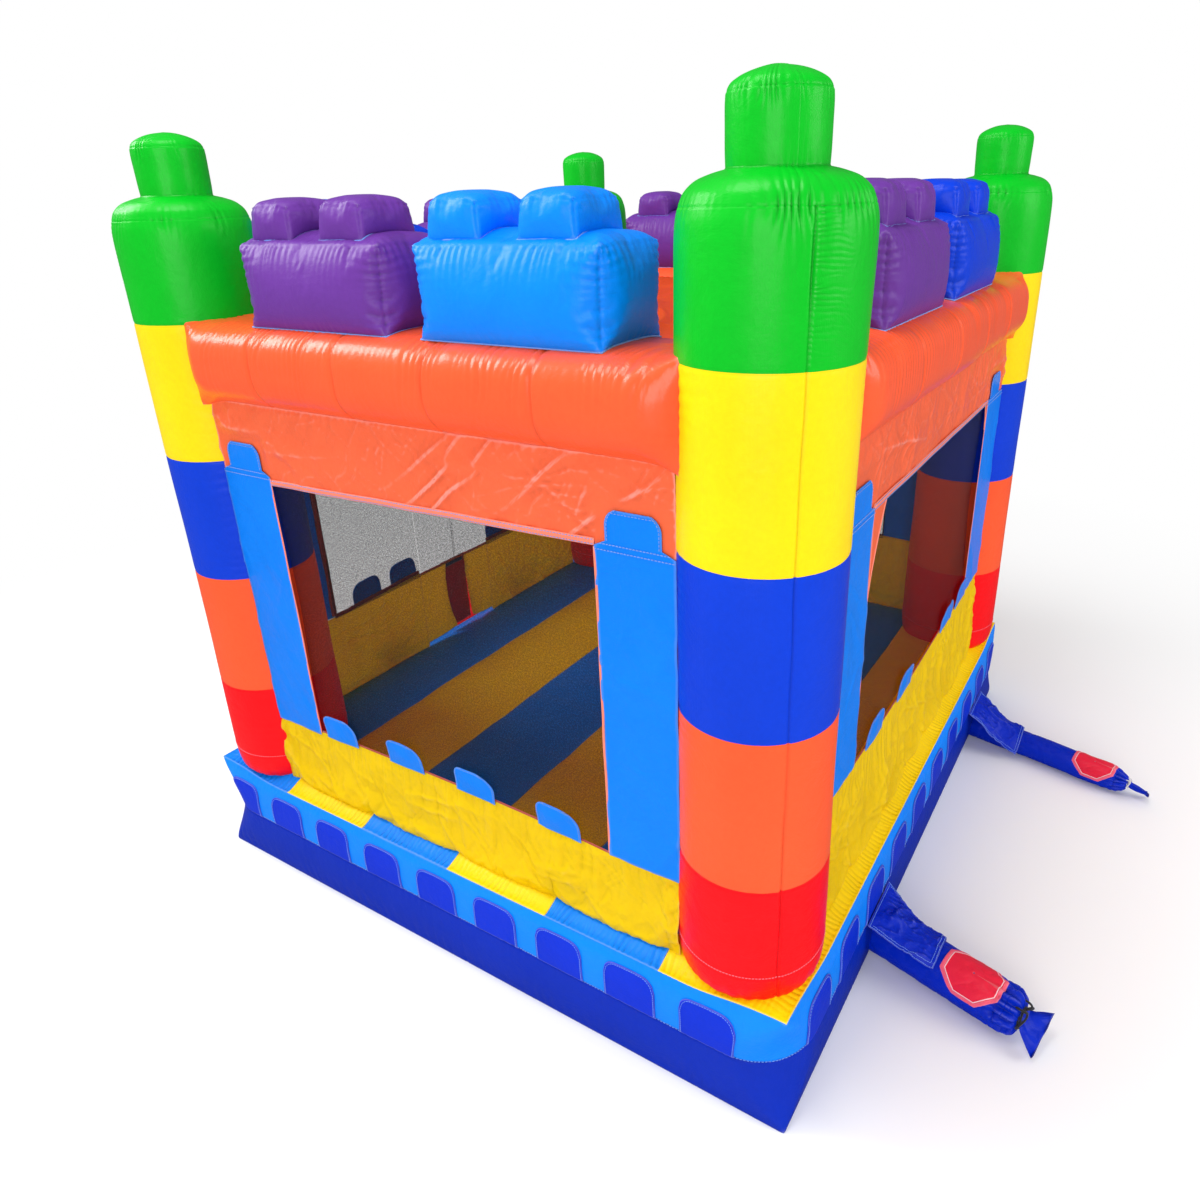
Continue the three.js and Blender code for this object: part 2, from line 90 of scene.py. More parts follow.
SIDES = ("front", "right", "back", "left")
SPAN = {"front": COLUMN_X, "right": COLUMN_Y, "back": COLUMN_X, "left": COLUMN_Y}
REACH = {"front": COLUMN_Y, "right": COLUMN_X, "back": COLUMN_Y, "left": COLUMN_X}
SILL = {side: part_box(f"low_wall_{side}")[1].z for side in ("front", "right", "back")}
SILL["left"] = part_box("low_wall_left_front")[1].z
WALL_EDGE = {"front": HEADER_HIGH.x, "back": HEADER_HIGH.x}
WALL_EDGE["right"] = WALL_EDGE["left"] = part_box("header_right")[1].y
WINDOW_HALF = {"front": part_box("window_mesh_front")[1].x, "right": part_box("window_mesh_right")[1].y}
WINDOW_HALF["back"] = WINDOW_HALF["front"]
WINDOW_HALF["left"] = WINDOW_HALF["right"]
DOOR_HALF = 0.297  # the door flaps' hinge lines, from the middle of the entrance

# ------------------------------------------------------------------- noise


def lattice(ix, iy, iz, seed):
    h = (ix * 73856093) ^ (iy * 19349663) ^ (iz * 83492791) ^ (seed * 2654435761 + 97)
    h &= 0xFFFFFFFF
    h = ((h ^ (h >> 13)) * 1274126177) & 0xFFFFFFFF
    h = ((h ^ (h >> 16)) * 668265263) & 0xFFFFFFFF
    return ((h >> 8) & 0xFFFF) / 32767.5 - 1.0


def noise(x, y=0.0, z=0.0, seed=0):
    """Smooth value noise from -1 to 1; one cell is one unit of its inputs."""
    x, y, z = np.broadcast_arrays(*(np.asarray(v, float) for v in (x, y, z)))
    floors = [np.floor(v).astype(np.int64) for v in (x, y, z)]
    share = [v - f for v, f in zip((x, y, z), floors)]
    ease = [t * t * (3 - 2 * t) for t in share]
    total = np.zeros(x.shape)
    for dx in (0, 1):
        for dy in (0, 1):
            for dz in (0, 1):
                weight = (
                    (ease[0] if dx else 1 - ease[0])
                    * (ease[1] if dy else 1 - ease[1])
                    * (ease[2] if dz else 1 - ease[2])
                )
                total += weight * lattice(floors[0] + dx, floors[1] + dy, floors[2] + dz, seed)
    return total


def smooth(edge0, edge1, x):
    t = np.clip((x - edge0) / (edge1 - edge0), 0, 1)
    return t * t * (3 - 2 * t)


def puckers(along, distance, pitch, reach, seed, steady=0.12):
    """Dents from 0 to 1 where a seam gathers fabric: folds of about `pitch` that
    cross the seam and die away over about `reach`. Distance is from the seam."""
    phase = 2 * np.pi * along / pitch + 4.0 * noise(along / (2.3 * pitch), distance / (4 * pitch), seed=seed)
    fold = (0.5 + 0.5 * np.cos(phase)) ** 1.5
    strength = steady + (1 - steady) * smooth(-0.5, 0.7, noise(along / (2.6 * pitch), 5.5, seed=seed))
    length = reach * (0.35 + 0.75 * (1 + noise(along / (1.3 * pitch), 9.5, seed=seed)))
    return fold * strength * np.exp(-((np.abs(distance) / length) ** 1.4))


def ridges(x, y, seed):
    """Sharp-crested creases from 0 to 1, one or so to each unit of the inputs."""
    first = 1 - np.abs(noise(x, y, seed=seed)) * 1.6
    second = 1 - np.abs(noise(x * 2.1 + 7.3, y * 2.1, seed=seed + 1)) * 1.6
    return np.clip(first, 0, 1) ** 3 + 0.45 * np.clip(second, 0, 1) ** 3


def creases(u, v, seed, directions):
    """Long sharp folds from 0 to about 1 in a pulled sheet. Each direction is its
    angle in degrees, the folds' length and their spacing."""
    total = 0.0
    for number, (degrees, length, pitch) in enumerate(directions):
        c, s = math.cos(math.radians(degrees)), math.sin(math.radians(degrees))
        lengthwise, across = u * c + v * s, v * c - u * s
        bend = 0.5 * noise(lengthwise / (0.6 * length), across / (5 * pitch), seed=seed + 30)
        lines = noise(lengthwise / length, across / pitch + bend, seed=seed + number)
        where = smooth(-0.25, 0.45, noise(lengthwise / (1.2 * length) + 4, across / (3 * pitch), seed=seed + 15 + number))
        total = total + where * np.clip(1 - 1.9 * np.abs(lines), 0, 1) ** 1.6
    return total


def groove(distance, width):
    """A crease from 0 to 1 along a seam."""
    return np.exp(-((distance / width) ** 2))


# -------------------------------------------------------------- mesh building


def grid_quads(rows, columns, wrap=False):
    index = np.arange(rows * columns).reshape(rows, columns)
    if wrap:
        index = np.concatenate([index, index[:, :1]], axis=1)
    return np.stack([index[:-1, :-1], index[:-1, 1:], index[1:, 1:], index[1:, :-1]], -1).reshape(-1, 4)


def signed_volume(points, faces):
    total = 0.0
    for block in faces:
        for k in range(1, block.shape[1] - 1):
            a, b, c = points[block[:, 0]], points[block[:, k]], points[block[:, k + 1]]
            total += np.einsum("ij,ij->", a, np.cross(b, c))
    return total


def add_mesh(name, points, faces, materials, slots=None, uv=None):
    """A smooth mesh object from points and a list of face index blocks. A closed
    mesh is turned so that its faces point outward."""
    points = np.ascontiguousarray(points, np.float64).reshape(-1, 3)
    faces = [np.asarray(block) for block in faces if len(block)]
    if signed_volume(points - points.mean(0), faces) < 0:
        faces = [block[:, ::-1] for block in faces]
    mesh = bpy.data.meshes.new(name)
    mesh.vertices.add(len(points))
    mesh.vertices.foreach_set("co", points.astype(np.float32).ravel())
    corners = np.concatenate([block.ravel() for block in faces])
    sizes = np.concatenate([np.full(len(block), block.shape[1]) for block in faces])
    mesh.loops.add(len(corners))
    mesh.loops.foreach_set("vertex_index", corners.astype(np.int32))
    mesh.polygons.add(len(sizes))
    mesh.polygons.foreach_set("loop_start", (np.cumsum(sizes) - sizes).astype(np.int32))
    mesh.polygons.foreach_set("use_smooth", np.ones(len(sizes), bool))
    for material in materials if isinstance(materials, (list, tuple)) else [materials]:
        mesh.materials.append(material)
    if slots is not None:
        mesh.polygons.foreach_set("material_index", np.asarray(slots, np.int32))
    if uv is not None:
        layer = mesh.uv_layers.new(name="metres")
        layer.data.foreach_set("uv", np.asarray(uv, np.float32)[corners].ravel())
    mesh.update(calc_edges=True)
    mesh.validate()
    obj = bpy.data.objects.new(name, mesh)
    bpy.context.scene.collection.objects.link(obj)
    return obj


def grid_normals(points, wrap=False):
    rows = np.gradient(points, axis=0)
    if wrap:
        columns = np.roll(points, -1, axis=1) - np.roll(points, 1, axis=1)
    else:
        columns = np.gradient(points, axis=1)
    normal = np.cross(columns, rows)
    return normal / np.maximum(np.linalg.norm(normal, axis=-1, keepdims=True), 1e-12)


def sheet_parts(points, thickness=FABRIC):
    """A closed sheet of fabric round a grid of points: (points, faces)."""
    rows, columns = points.shape[:2]
    offset = grid_normals(points) * thickness / 2
    front = grid_quads(rows, columns)
    back = front[:, ::-1] + rows * columns
    index = np.arange(rows * columns).reshape(rows, columns)
    rim = np.concatenate([index[0, :-1], index[:-1, -1], index[-1, :0:-1], index[:0:-1, 0]])
    ahead = np.roll(rim, -1)
    count = rows * columns
    sides = np.stack([ahead, rim, rim + count, ahead + count], -1)
    both = np.concatenate([(points + offset).reshape(-1, 3), (points - offset).reshape(-1, 3)])
    return both, np.concatenate([front, back, sides])


def add_sheet(name, points, material, thickness=FABRIC, uv=None):
    both, faces = sheet_parts(points, thickness)
    doubled = None if uv is None else np.concatenate([uv.reshape(-1, 2)] * 2)
    return add_mesh(name, both, [faces], material, uv=doubled)


class Bundle:
    """Gathers small closed pieces, such as stitches, into one object."""

    def __init__(self):
        self.points, self.faces, self.count = [], {}, 0

    def add(self, points, blocks):
        for block in blocks:
            self.faces.setdefault(block.shape[1], []).append(block + self.count)
        self.points.append(points)
        self.count += len(points)

    def build(self, name, material):
        blocks = [np.concatenate(block) for block in self.faces.values()]
        return add_mesh(name, np.concatenate(self.points), blocks, material)


def resample(path, normals, step):
    lengths = np.concatenate([[0], np.cumsum(np.linalg.norm(np.diff(path, axis=0), axis=1))])
    places = np.arange(step / 2, lengths[-1], step)
    at = [np.interp(places, lengths, path[:, k]) for k in range(3)]
    up = [np.interp(places, lengths, normals[:, k]) for k in range(3)]
    return np.stack(at, -1), np.stack(up, -1)


BOX_FACES = np.array([[0, 1, 3, 2], [4, 6, 7, 5], [0, 4, 5, 1], [2, 3, 7, 6], [0, 2, 6, 4], [1, 5, 7, 3]])


def add_stitches(bundle, path, normals, dash=0.010, pitch=0.014, width=0.0022, height=0.0016):
    """A row of sewn stitches along a path that lies on a surface."""
    centre, up = resample(np.asarray(path, float), np.asarray(normals, float), pitch)
    if len(centre) < 3:
        return
    ahead = np.gradient(centre, axis=0)
    ahead /= np.linalg.norm(ahead, axis=1, keepdims=True)
    up /= np.linalg.norm(up, axis=1, keepdims=True)
    across = np.cross(ahead, up)
    corners = []
    for along_sign in (-1, 1):
        for across_sign in (-1, 1):
            for lift in (-0.4, 1.0):
                corners.append(
                    centre
                    + ahead * along_sign * dash / 2 * (1 if lift < 0 else 0.8)
                    + across * across_sign * width / 2 * (1 if lift < 0 else 0.7)
                    + up * lift * height
                )
    points = np.stack(corners, 1).reshape(-1, 3)
    faces = (BOX_FACES[None] + 8 * np.arange(len(centre))[:, None, None]).reshape(-1, 4)
    bundle.add(points, [faces])


def cord_parts(path, radius, normals=None, sides=8, closed=False, flat=1.0):
    """A closed round cord along a path. `flat` below 1 thins it along its normal."""
    path = np.asarray(path, float)
    if closed:
        ahead = np.roll(path, -1, axis=0) - np.roll(path, 1, axis=0)
    else:
        ahead = np.gradient(path, axis=0)
    ahead /= np.maximum(np.linalg.norm(ahead, axis=1, keepdims=True), 1e-12)
    if normals is None:
        normals = np.tile([0.0, 0.0, 1.0], (len(path), 1))
        steep = np.abs(ahead[:, 2]) > 0.9
        normals[steep] = [1.0, 0.0, 0.0]
    across = np.cross(ahead, normals)
    across /= np.maximum(np.linalg.norm(across, axis=1, keepdims=True), 1e-12)
    up = np.cross(across, ahead)
    angles = 2 * np.pi * np.arange(sides) / sides
    radii = np.broadcast_to(np.asarray(radius, float), (len(path),))[:, None, None]
    ring = np.cos(angles)[None, :, None] * across[:, None] + flat * np.sin(angles)[None, :, None] * up[:, None]
    points = path[:, None] + radii * ring
    faces = grid_quads(len(path), sides, wrap=True)
    flatten = points.reshape(-1, 3)
    if closed:
        last = np.arange(sides) + (len(path) - 1) * sides
        first = np.arange(sides)
        join = np.stack([last, np.roll(last, -1), np.roll(first, -1), first], -1)
        return flatten, [np.concatenate([faces, join])]
    caps = []
    for start, middle in ((0, path[0]), ((len(path) - 1) * sides, path[-1])):
        hub = len(flatten)
        flatten = np.concatenate([flatten, middle[None]])
        ring_index = start + np.arange(sides)
        fan = np.stack([np.full(sides, hub), np.roll(ring_index, -1), ring_index], -1)
        caps.append(fan if start == 0 else fan[:, ::-1])
    return flatten, [faces, np.concatenate(caps)]


def to_world(side, along, out, up):
    """From a wall's own axes (along it, outward from its columns' axes, up)."""
    turn = SIDES.index(side)
    along, out, up = np.broadcast_arrays(along, out, up)
    depth = REACH[side] + out
    c, s = ((1, 0), (0, 1), (-1, 0), (0, -1))[turn]
    return np.stack([along * c + depth * s, along * s - depth * c, up], -1)


def outward(side):
    turn = SIDES.index(side)
    return np.array(((0, -1, 0), (1, 0, 0), (0, 1, 0), (-1, 0, 0))[turn], float)


# ---------------------------------------------------------------- simulation


def inflate_or_drape(points, faces, pinned, frames, pressure=0.0, gravity=0.0, slack=0.0,
                     tension=40.0, bending=0.5, quality=6, damping=15.0, air=4.0):
    """Runs Blender's cloth on a mesh and returns its points. `pinned` marks the
    points held in place; `slack` is how much larger the fabric was cut."""
    obj = add_mesh("cloth_work", points, faces, [])
    group = obj.vertex_groups.new(name="pin")
    group.add([int(i) for i in np.flatnonzero(pinned)], 1.0, "REPLACE")
    modifier = obj.modifiers.new("cloth", "CLOTH")
    settings = modifier.settings
    settings.vertex_group_mass = "pin"
    settings.quality = quality
    settings.mass = 0.25
    settings.tension_stiffness = tension
    settings.compression_stiffness = tension
    settings.shear_stiffness = tension * 0.6
    settings.bending_stiffness = bending
    settings.tension_damping = damping
    settings.compression_damping = damping
    settings.shear_damping = damping
    settings.air_damping = air
    settings.use_pressure = pressure > 0
    settings.uniform_pressure_force = pressure
    settings.effector_weights.gravity = gravity
    settings.shrink_min = -slack
    modifier.collision_settings.use_collision = False
    modifier.point_cache.frame_start = 1
    modifier.point_cache.frame_end = frames
    scene = bpy.context.scene
    for number in range(1, frames + 1):
        scene.frame_set(number)
    evaluated = obj.evaluated_get(bpy.context.evaluated_depsgraph_get())
    result = np.empty(len(evaluated.data.vertices) * 3, np.float32)
    evaluated.data.vertices.foreach_get("co", result)
    bpy.data.objects.remove(obj)
    scene.frame_set(1)
    return result.reshape(-1, 3).astype(float)


# ------------------------------------------------------------------ materials


def new_material(name):
    material = bpy.data.materials.new(name)
    material.use_nodes = True
    tree = material.node_tree
    return material, tree.nodes, tree.links, tree.nodes["Principled BSDF"]


def add_node(nodes, kind, **values):
    node = nodes.new(kind)
    for key, value in values.items():
        if key in node.inputs:
            node.inputs[key].default_value = value
        else:
            setattr(node, key, value)
    return node


def math_node(nodes, links, operation, first, second=None, clamp=False):
    node = nodes.new("ShaderNodeMath")
    node.operation = operation
    node.use_clamp = clamp
    for slot, value in enumerate((first, second)):
        if value is None:
            continue
        if isinstance(value, (int, float)):
            node.inputs[slot].default_value = value
        else:
            links.new(value, node.inputs[slot])
    return node.outputs[0]


def vinyl(name, colour, roughness=0.36, crease=0.30, crease_scale=7.0, grain=0.10, coat=0.05, thin=0.0,
          fold_highlight_strength=0.22):
    """Coated fabric: its colour drifts a little, its sheen varies, a fine woven
    scrim shows through the coating, sharp folds and edges get a painted highlight
    and creases a painted shade."""
    material, nodes, links, shader = new_material(name)
    place = nodes.new("ShaderNodeTexCoord").outputs["Object"]
    drift = add_node(nodes, "ShaderNodeTexNoise", Scale=2.3, Detail=4.0, Roughness=0.6)
    mottle = add_node(nodes, "ShaderNodeTexNoise", Scale=60.0, Detail=3.0)
    for texture in (drift, mottle):
        links.new(place, texture.inputs["Vector"])
    darker = tuple(0.80 * c for c in colour) + (1,)
    lighter = tuple(min(1.0, 1.06 * c) for c in colour) + (1,)
    shade = math_node(nodes, links, "MULTIPLY_ADD", drift.outputs["Fac"], 0.75)
    shade.node.inputs[2].default_value = 0.12
    shade = math_node(nodes, links, "ADD", shade, math_node(
        nodes, links, "MULTIPLY", math_node(nodes, links, "SUBTRACT", mottle.outputs["Fac"], 0.5), 0.5), True)
    base = add_node(nodes, "ShaderNodeMix", data_type="RGBA")
    base.inputs["A"].default_value = darker
    base.inputs["B"].default_value = lighter
    base.inputs[6].default_value = darker
    base.inputs[7].default_value = lighter
    links.new(shade, base.inputs["Factor"])
    # painted highlight on sharp edges and folds, and painted shade in creases, from how sharply the surface bends
    bend = nodes.new("ShaderNodeNewGeometry").outputs["Pointiness"]
    raised = add_node(nodes, "ShaderNodeMapRange")
    raised.inputs["From Min"].default_value = 0.525 if fold_highlight_strength < 0.3 else 0.506
    raised.inputs["From Max"].default_value = 0.60 if fold_highlight_strength < 0.3 else 0.545
    raised.inputs["To Max"].default_value = fold_highlight_strength
    links.new(bend, raised.inputs["Value"])
    # painted highlight: sharp edges and folds are mixed towards a whitish colour
    painted_fold_highlight = add_node(nodes, "ShaderNodeMix", data_type="RGBA")
    painted_fold_highlight.inputs[7].default_value = tuple(0.45 * c + 0.50 for c in colour) + (1,)
    links.new(base.outputs[2], painted_fold_highlight.inputs[6])
    links.new(raised.outputs["Result"], painted_fold_highlight.inputs["Factor"])
    # painted shade: inward creases are mixed towards a darker colour
    sunk = add_node(nodes, "ShaderNodeMapRange")
    sunk.inputs["From Min"].default_value = 0.495
    sunk.inputs["From Max"].default_value = 0.44
    sunk.inputs["To Max"].default_value = 0.55
    links.new(bend, sunk.inputs["Value"])
    painted_crease_shade = add_node(nodes, "ShaderNodeMix", data_type="RGBA")
    painted_crease_shade.inputs[7].default_value = tuple(0.42 * c for c in colour) + (1,)
    links.new(painted_fold_highlight.outputs[2], painted_crease_shade.inputs[6])
    links.new(sunk.outputs["Result"], painted_crease_shade.inputs["Factor"])
    links.new(painted_crease_shade.outputs[2], shader.inputs["Base Color"])
    # sheen
    gloss = add_node(nodes, "ShaderNodeMapRange")
    gloss.inputs["To Min"].default_value = roughness - 0.07
    gloss.inputs["To Max"].default_value = roughness + 0.10
    links.new(drift.outputs["Fac"], gloss.inputs["Value"])
    links.new(gloss.outputs["Result"], shader.inputs["Roughness"])
    shader.inputs["Coat Weight"].default_value = coat
    shader.inputs["Coat Roughness"].default_value = 0.20
    shader.inputs["Specular IOR Level"].default_value = 0.13
    # relief: crumpling of the sheet, then the scrim's threads
    crumple = add_node(nodes, "ShaderNodeTexNoise", Scale=crease_scale, Detail=7.0, Roughness=0.62, Distortion=0.5)
    links.new(place, crumple.inputs["Vector"])
    scrim = []
    for direction in ("X", "Y", "Z"):
        wave = add_node(nodes, "ShaderNodeTexWave", Scale=105.0, Distortion=0.4, Detail=1.0)
        wave.bands_direction = direction
        links.new(place, wave.inputs["Vector"])
        scrim.append(wave.outputs["Fac"])
    threads = math_node(nodes, links, "ADD", math_node(nodes, links, "ADD", scrim[0], scrim[1]), scrim[2])
    coarse = add_node(nodes, "ShaderNodeBump", Strength=crease, Distance=0.02)
    fine = add_node(nodes, "ShaderNodeBump", Strength=grain, Distance=0.0008)
    links.new(crumple.outputs["Fac"], coarse.inputs["Height"])
    links.new(threads, fine.inputs["Height"])
    links.new(coarse.outputs["Normal"], fine.inputs["Normal"])
    links.new(fine.outputs["Normal"], shader.inputs["Normal"])
    if thin:
        # a single layer lets some of the light behind it through
        glow = nodes.new("ShaderNodeBsdfTranslucent")
        glow.inputs["Color"].default_value = tuple(min(1.0, 1.1 * c ** 0.8) for c in colour) + (1,)
        share = add_node(nodes, "ShaderNodeMixShader")
        share.inputs[0].default_value = thin
        links.new(shader.outputs[0], share.inputs[1])
        links.new(glow.outputs[0], share.inputs[2])
        links.new(share.outputs[0], nodes["Material Output"].inputs["Surface"])
    return material


def netting(name):
    """Black woven net: round threads with open holes between them."""
    material, nodes, links, shader = new_material(name)
    place = nodes.new("ShaderNodeUVMap").outputs["UV"]
    split = nodes.new("ShaderNodeSeparateXYZ")
    wander = add_node(nodes, "ShaderNodeTexNoise", Scale=90.0, Detail=2.0)
    links.new(place, wander.inputs["Vector"])
    links.new(place, split.inputs[0])
    grain = add_node(nodes, "ShaderNodeTexNoise", Scale=150.0, Detail=1.0)
    links.new(place, grain.inputs["Vector"])
    limit = math_node(nodes, links, "ADD", math_node(nodes, links, "MULTIPLY", grain.outputs["Fac"], 0.75), 0.535)
    threads = []
    for axis in ("X", "Y"):
        turns = math_node(nodes, links, "MULTIPLY", split.outputs[axis], 2 * math.pi / 0.0030)
        bent = math_node(nodes, links, "ADD", turns, math_node(nodes, links, "MULTIPLY", wander.outputs["Fac"], 3.0))
        wave = math_node(nodes, links, "SINE", bent)
        threads.append(math_node(nodes, links, "GREATER_THAN", wave, limit))
    solid = math_node(nodes, links, "MAXIMUM", threads[0], threads[1])
    # the yarns between the thick threads are too fine to tell apart
    solid = math_node(nodes, links, "ADD", math_node(nodes, links, "MULTIPLY", solid, 0.42), 0.17)
    shader.inputs["Base Color"].default_value = (0.012, 0.012, 0.015, 1)
    shader.inputs["Roughness"].default_value = 0.75
    shader.inputs["Specular IOR Level"].default_value = 0.15
    links.new(solid, shader.inputs["Alpha"])
    return material


def plain_fabric(name, colour, roughness=0.8, scale=900.0):
    """Matt thread, cord or webbing with a twisted-yarn relief."""
    material, nodes, links, shader = new_material(name)
    place = nodes.new("ShaderNodeTexCoord").outputs["Object"]
    drift = add_node(nodes, "ShaderNodeTexNoise", Scale=180.0, Detail=3.0)
    yarn = add_node(nodes, "ShaderNodeTexWave", Scale=scale / 6, Distortion=2.0, Detail=2.0)
    links.new(place, drift.inputs["Vector"])
    links.new(place, yarn.inputs["Vector"])
    base = add_node(nodes, "ShaderNodeMix", data_type="RGBA")
    base.inputs[6].default_value = tuple(0.7 * c for c in colour) + (1,)
    base.inputs[7].default_value = tuple(colour) + (1,)
    links.new(drift.outputs["Fac"], base.inputs["Factor"])
    links.new(base.outputs[2], shader.inputs["Base Color"])
    shader.inputs["Roughness"].default_value = roughness
    shader.inputs["Sheen Weight"].default_value = 0.2
    bump = add_node(nodes, "ShaderNodeBump", Strength=0.4, Distance=0.0006)
    links.new(yarn.outputs["Fac"], bump.inputs["Height"])
    links.new(bump.outputs["Normal"], shader.inputs["Normal"])
    return material


def linear(red, green, blue):
    """Display colour, 0 to 255, as the linear colour that a shader takes."""
    return tuple(
        c / 12.92 if c <= 0.04045 else ((c + 0.055) / 1.055) ** 2.4
        for c in (red / 255, green / 255, blue / 255)
    )


GREEN = vinyl("vinyl_green", linear(0, 184, 32), coat=0.10)
YELLOW = vinyl("vinyl_yellow", linear(255, 216, 6))
BLUE = vinyl("vinyl_royal_blue", linear(0, 58, 205))
ORANGE = vinyl("vinyl_orange", linear(255, 90, 46))
BEAM_ORANGE = vinyl("vinyl_beam_orange", linear(255, 90, 46), coat=0.45)
RED = vinyl("vinyl_red", linear(248, 0, 14))
PURPLE = vinyl("vinyl_purple", linear(104, 54, 150))
SKY = vinyl("vinyl_light_blue", linear(0, 132, 255))
SKIRT_YELLOW = vinyl("vinyl_skirt_yellow", linear(255, 216, 8), crease=0.5, crease_scale=11.0, thin=0.30, fold_highlight_strength=0.22)
HEADER_ORANGE = vinyl("vinyl_header_orange", linear(255, 108, 66), crease=0.5, crease_scale=11.0, coat=0.25,
                      thin=0.12, fold_highlight_strength=0.38)
ROOF_ORANGE = vinyl("vinyl_roof_orange", linear(255, 110, 50), crease=0.5, crease_scale=9.0, thin=0.55)
STRIP_BLUE = vinyl("vinyl_strip_blue", linear(0, 134, 255), crease=0.45, crease_scale=10.0, thin=0.15)
DEEP_BLUE = vinyl("vinyl_base_blue", linear(0, 42, 176))
ARCH_BLUE = vinyl("vinyl_arch_blue", linear(0, 46, 205))
TUBE_BLUE = vinyl("vinyl_tube_blue", linear(0, 40, 190), roughness=0.28, crease=0.45, crease_scale=16.0)
TRIM = vinyl("vinyl_trim", linear(255, 132, 104), crease=0.2)
RUST = vinyl("vinyl_rust", linear(168, 48, 30), crease=0.2)
MAROON = vinyl("vinyl_maroon", linear(150, 4, 22), crease=0.4)
NAVY = vinyl("vinyl_navy", linear(16, 24, 60), crease=0.3)
PALE_THREAD = plain_fabric("thread_pale", linear(120, 165, 245))
PINK_THREAD = plain_fabric("thread_pink", linear(255, 120, 140))
NET_MATERIAL = netting("net_black")
NET_EDGE = plain_fabric("net_edge", linear(120, 120, 122))
DARK_CORD = plain_fabric("cord_dark", linear(30, 30, 34))
PALE_CORD = plain_fabric("cord_pale", linear(235, 235, 230))
LABEL_RED = vinyl("label_red", linear(238, 38, 66), crease=0.2)
LABEL_PINK = vinyl("label_pink", linear(250, 96, 122), crease=0.2)
LABEL_WHITE = vinyl("label_white", linear(255, 205, 212), crease=0.2)

threads = {"house": Bundle()}
red_threads = Bundle()
pale_piping = Bundle()


def finish_piece(obj, body, slot, *nodes):
    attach(obj, body)
    if nodes:
        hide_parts(*nodes)
    return obj


# ----------------------------------------------------------------------- base


def base_profile(height):
    """How far the base's side stands out from its top edge, and its corner radius."""
    share = np.clip(height / FLOOR, 0, 1)
    swell = 4 * share * (1 - share)
    pillow = 0.006 * np.abs(np.sin(np.pi * height / np.where(height < BAND_SEAM, BAND_SEAM, FLOOR - BAND_SEAM)
                                   - np.where(height < BAND_SEAM, 0, np.pi * BAND_SEAM / (FLOOR - BAND_SEAM))))
    grow = GROUND_INSET * (1 - share) + SIDE_BULGE * swell + pillow
    return grow, 0.006 + CORNER_RADIUS * swell ** 1.3


def edge_bow(along, half):
    """How far the top edge of the base bows out between its corners, 0 to 1."""
    return smooth(0.0, 0.38, half - np.abs(along))


EDGE_BOW = 0.005
EDGE_FALL = 0.030


def base_side(side, along, height, relief=True):
    """A point on the base's side. `along` runs from corner to corner and may reach
    the rounded corner, where it bends round to meet the next side."""
    along, height = np.broadcast_arrays(np.asarray(along, float), np.asarray(height, float))
    top_half, top_depth = (TOP_X, TOP_Y) if side in ("front", "back") else (TOP_Y, TOP_X)
    grow, radius = base_profile(height)
    half, depth = top_half + grow, top_depth + grow
    scaled = along * half / (top_half + GROUND_INSET)
    past = np.clip(np.abs(scaled) - (half - radius), 0, radius) / radius
    angle = past * np.pi / 4
    flat = np.abs(scaled) <= half - radius
    a = np.where(flat, scaled, np.sign(scaled) * (half - radius + radius * np.sin(angle)))
    b = np.where(flat, depth, depth - radius + radius * np.cos(angle))
    bow = edge_bow(along, top_half) * smooth(0.45, 1.0, height / FLOOR)
    b = b + EDGE_BOW * bow
    if relief:
        seed = 20 + SIDES.index(side)
        from_corner = top_half - np.abs(along)
        calm = smooth(0.0, 0.05, from_corner)
        dent = 0.0042 * puckers(along, FLOOR - height, 0.024, 0.040, seed, 0.3) * smooth(0.0, 0.016, FLOOR - height)
        dent = dent + 0.0020 * puckers(along, height - BAND_SEAM, 0.045, 0.035, seed + 7)
        dent = dent + 0.0035 * puckers(along, height - 0.03, 0.060, 0.060, seed + 13) * smooth(0.0, 0.05, height)
        dent = dent + 0.004 * groove(height - BAND_SEAM, 0.006)
        dent = dent + 0.003 * groove(along - 0.06, 0.004) * (height < BAND_SEAM)
        dent = dent + 0.003 * noise(along * 3.1, height * 6.0, seed=seed) * smooth(0.0, 0.05, height)
        b = b - dent * calm
    return to_world(side, a, b - REACH[side], height - EDGE_FALL * bow * smooth(0.8, 1.0, height / FLOOR))


def on_surface(surface, u, v, lift, step=0.004):
    """Points lifted off a surface(u, v) along its outward normal, and the normal."""
    here = surface(u, v)
    du = surface(u + step, v) - surface(u - step, v)
    dv = surface(u, v + step) - surface(u, v - step)
    normal = np.cross(du, dv)
    normal /= np.maximum(np.linalg.norm(normal, axis=-1, keepdims=True), 1e-12)
    return here + normal * lift, normal


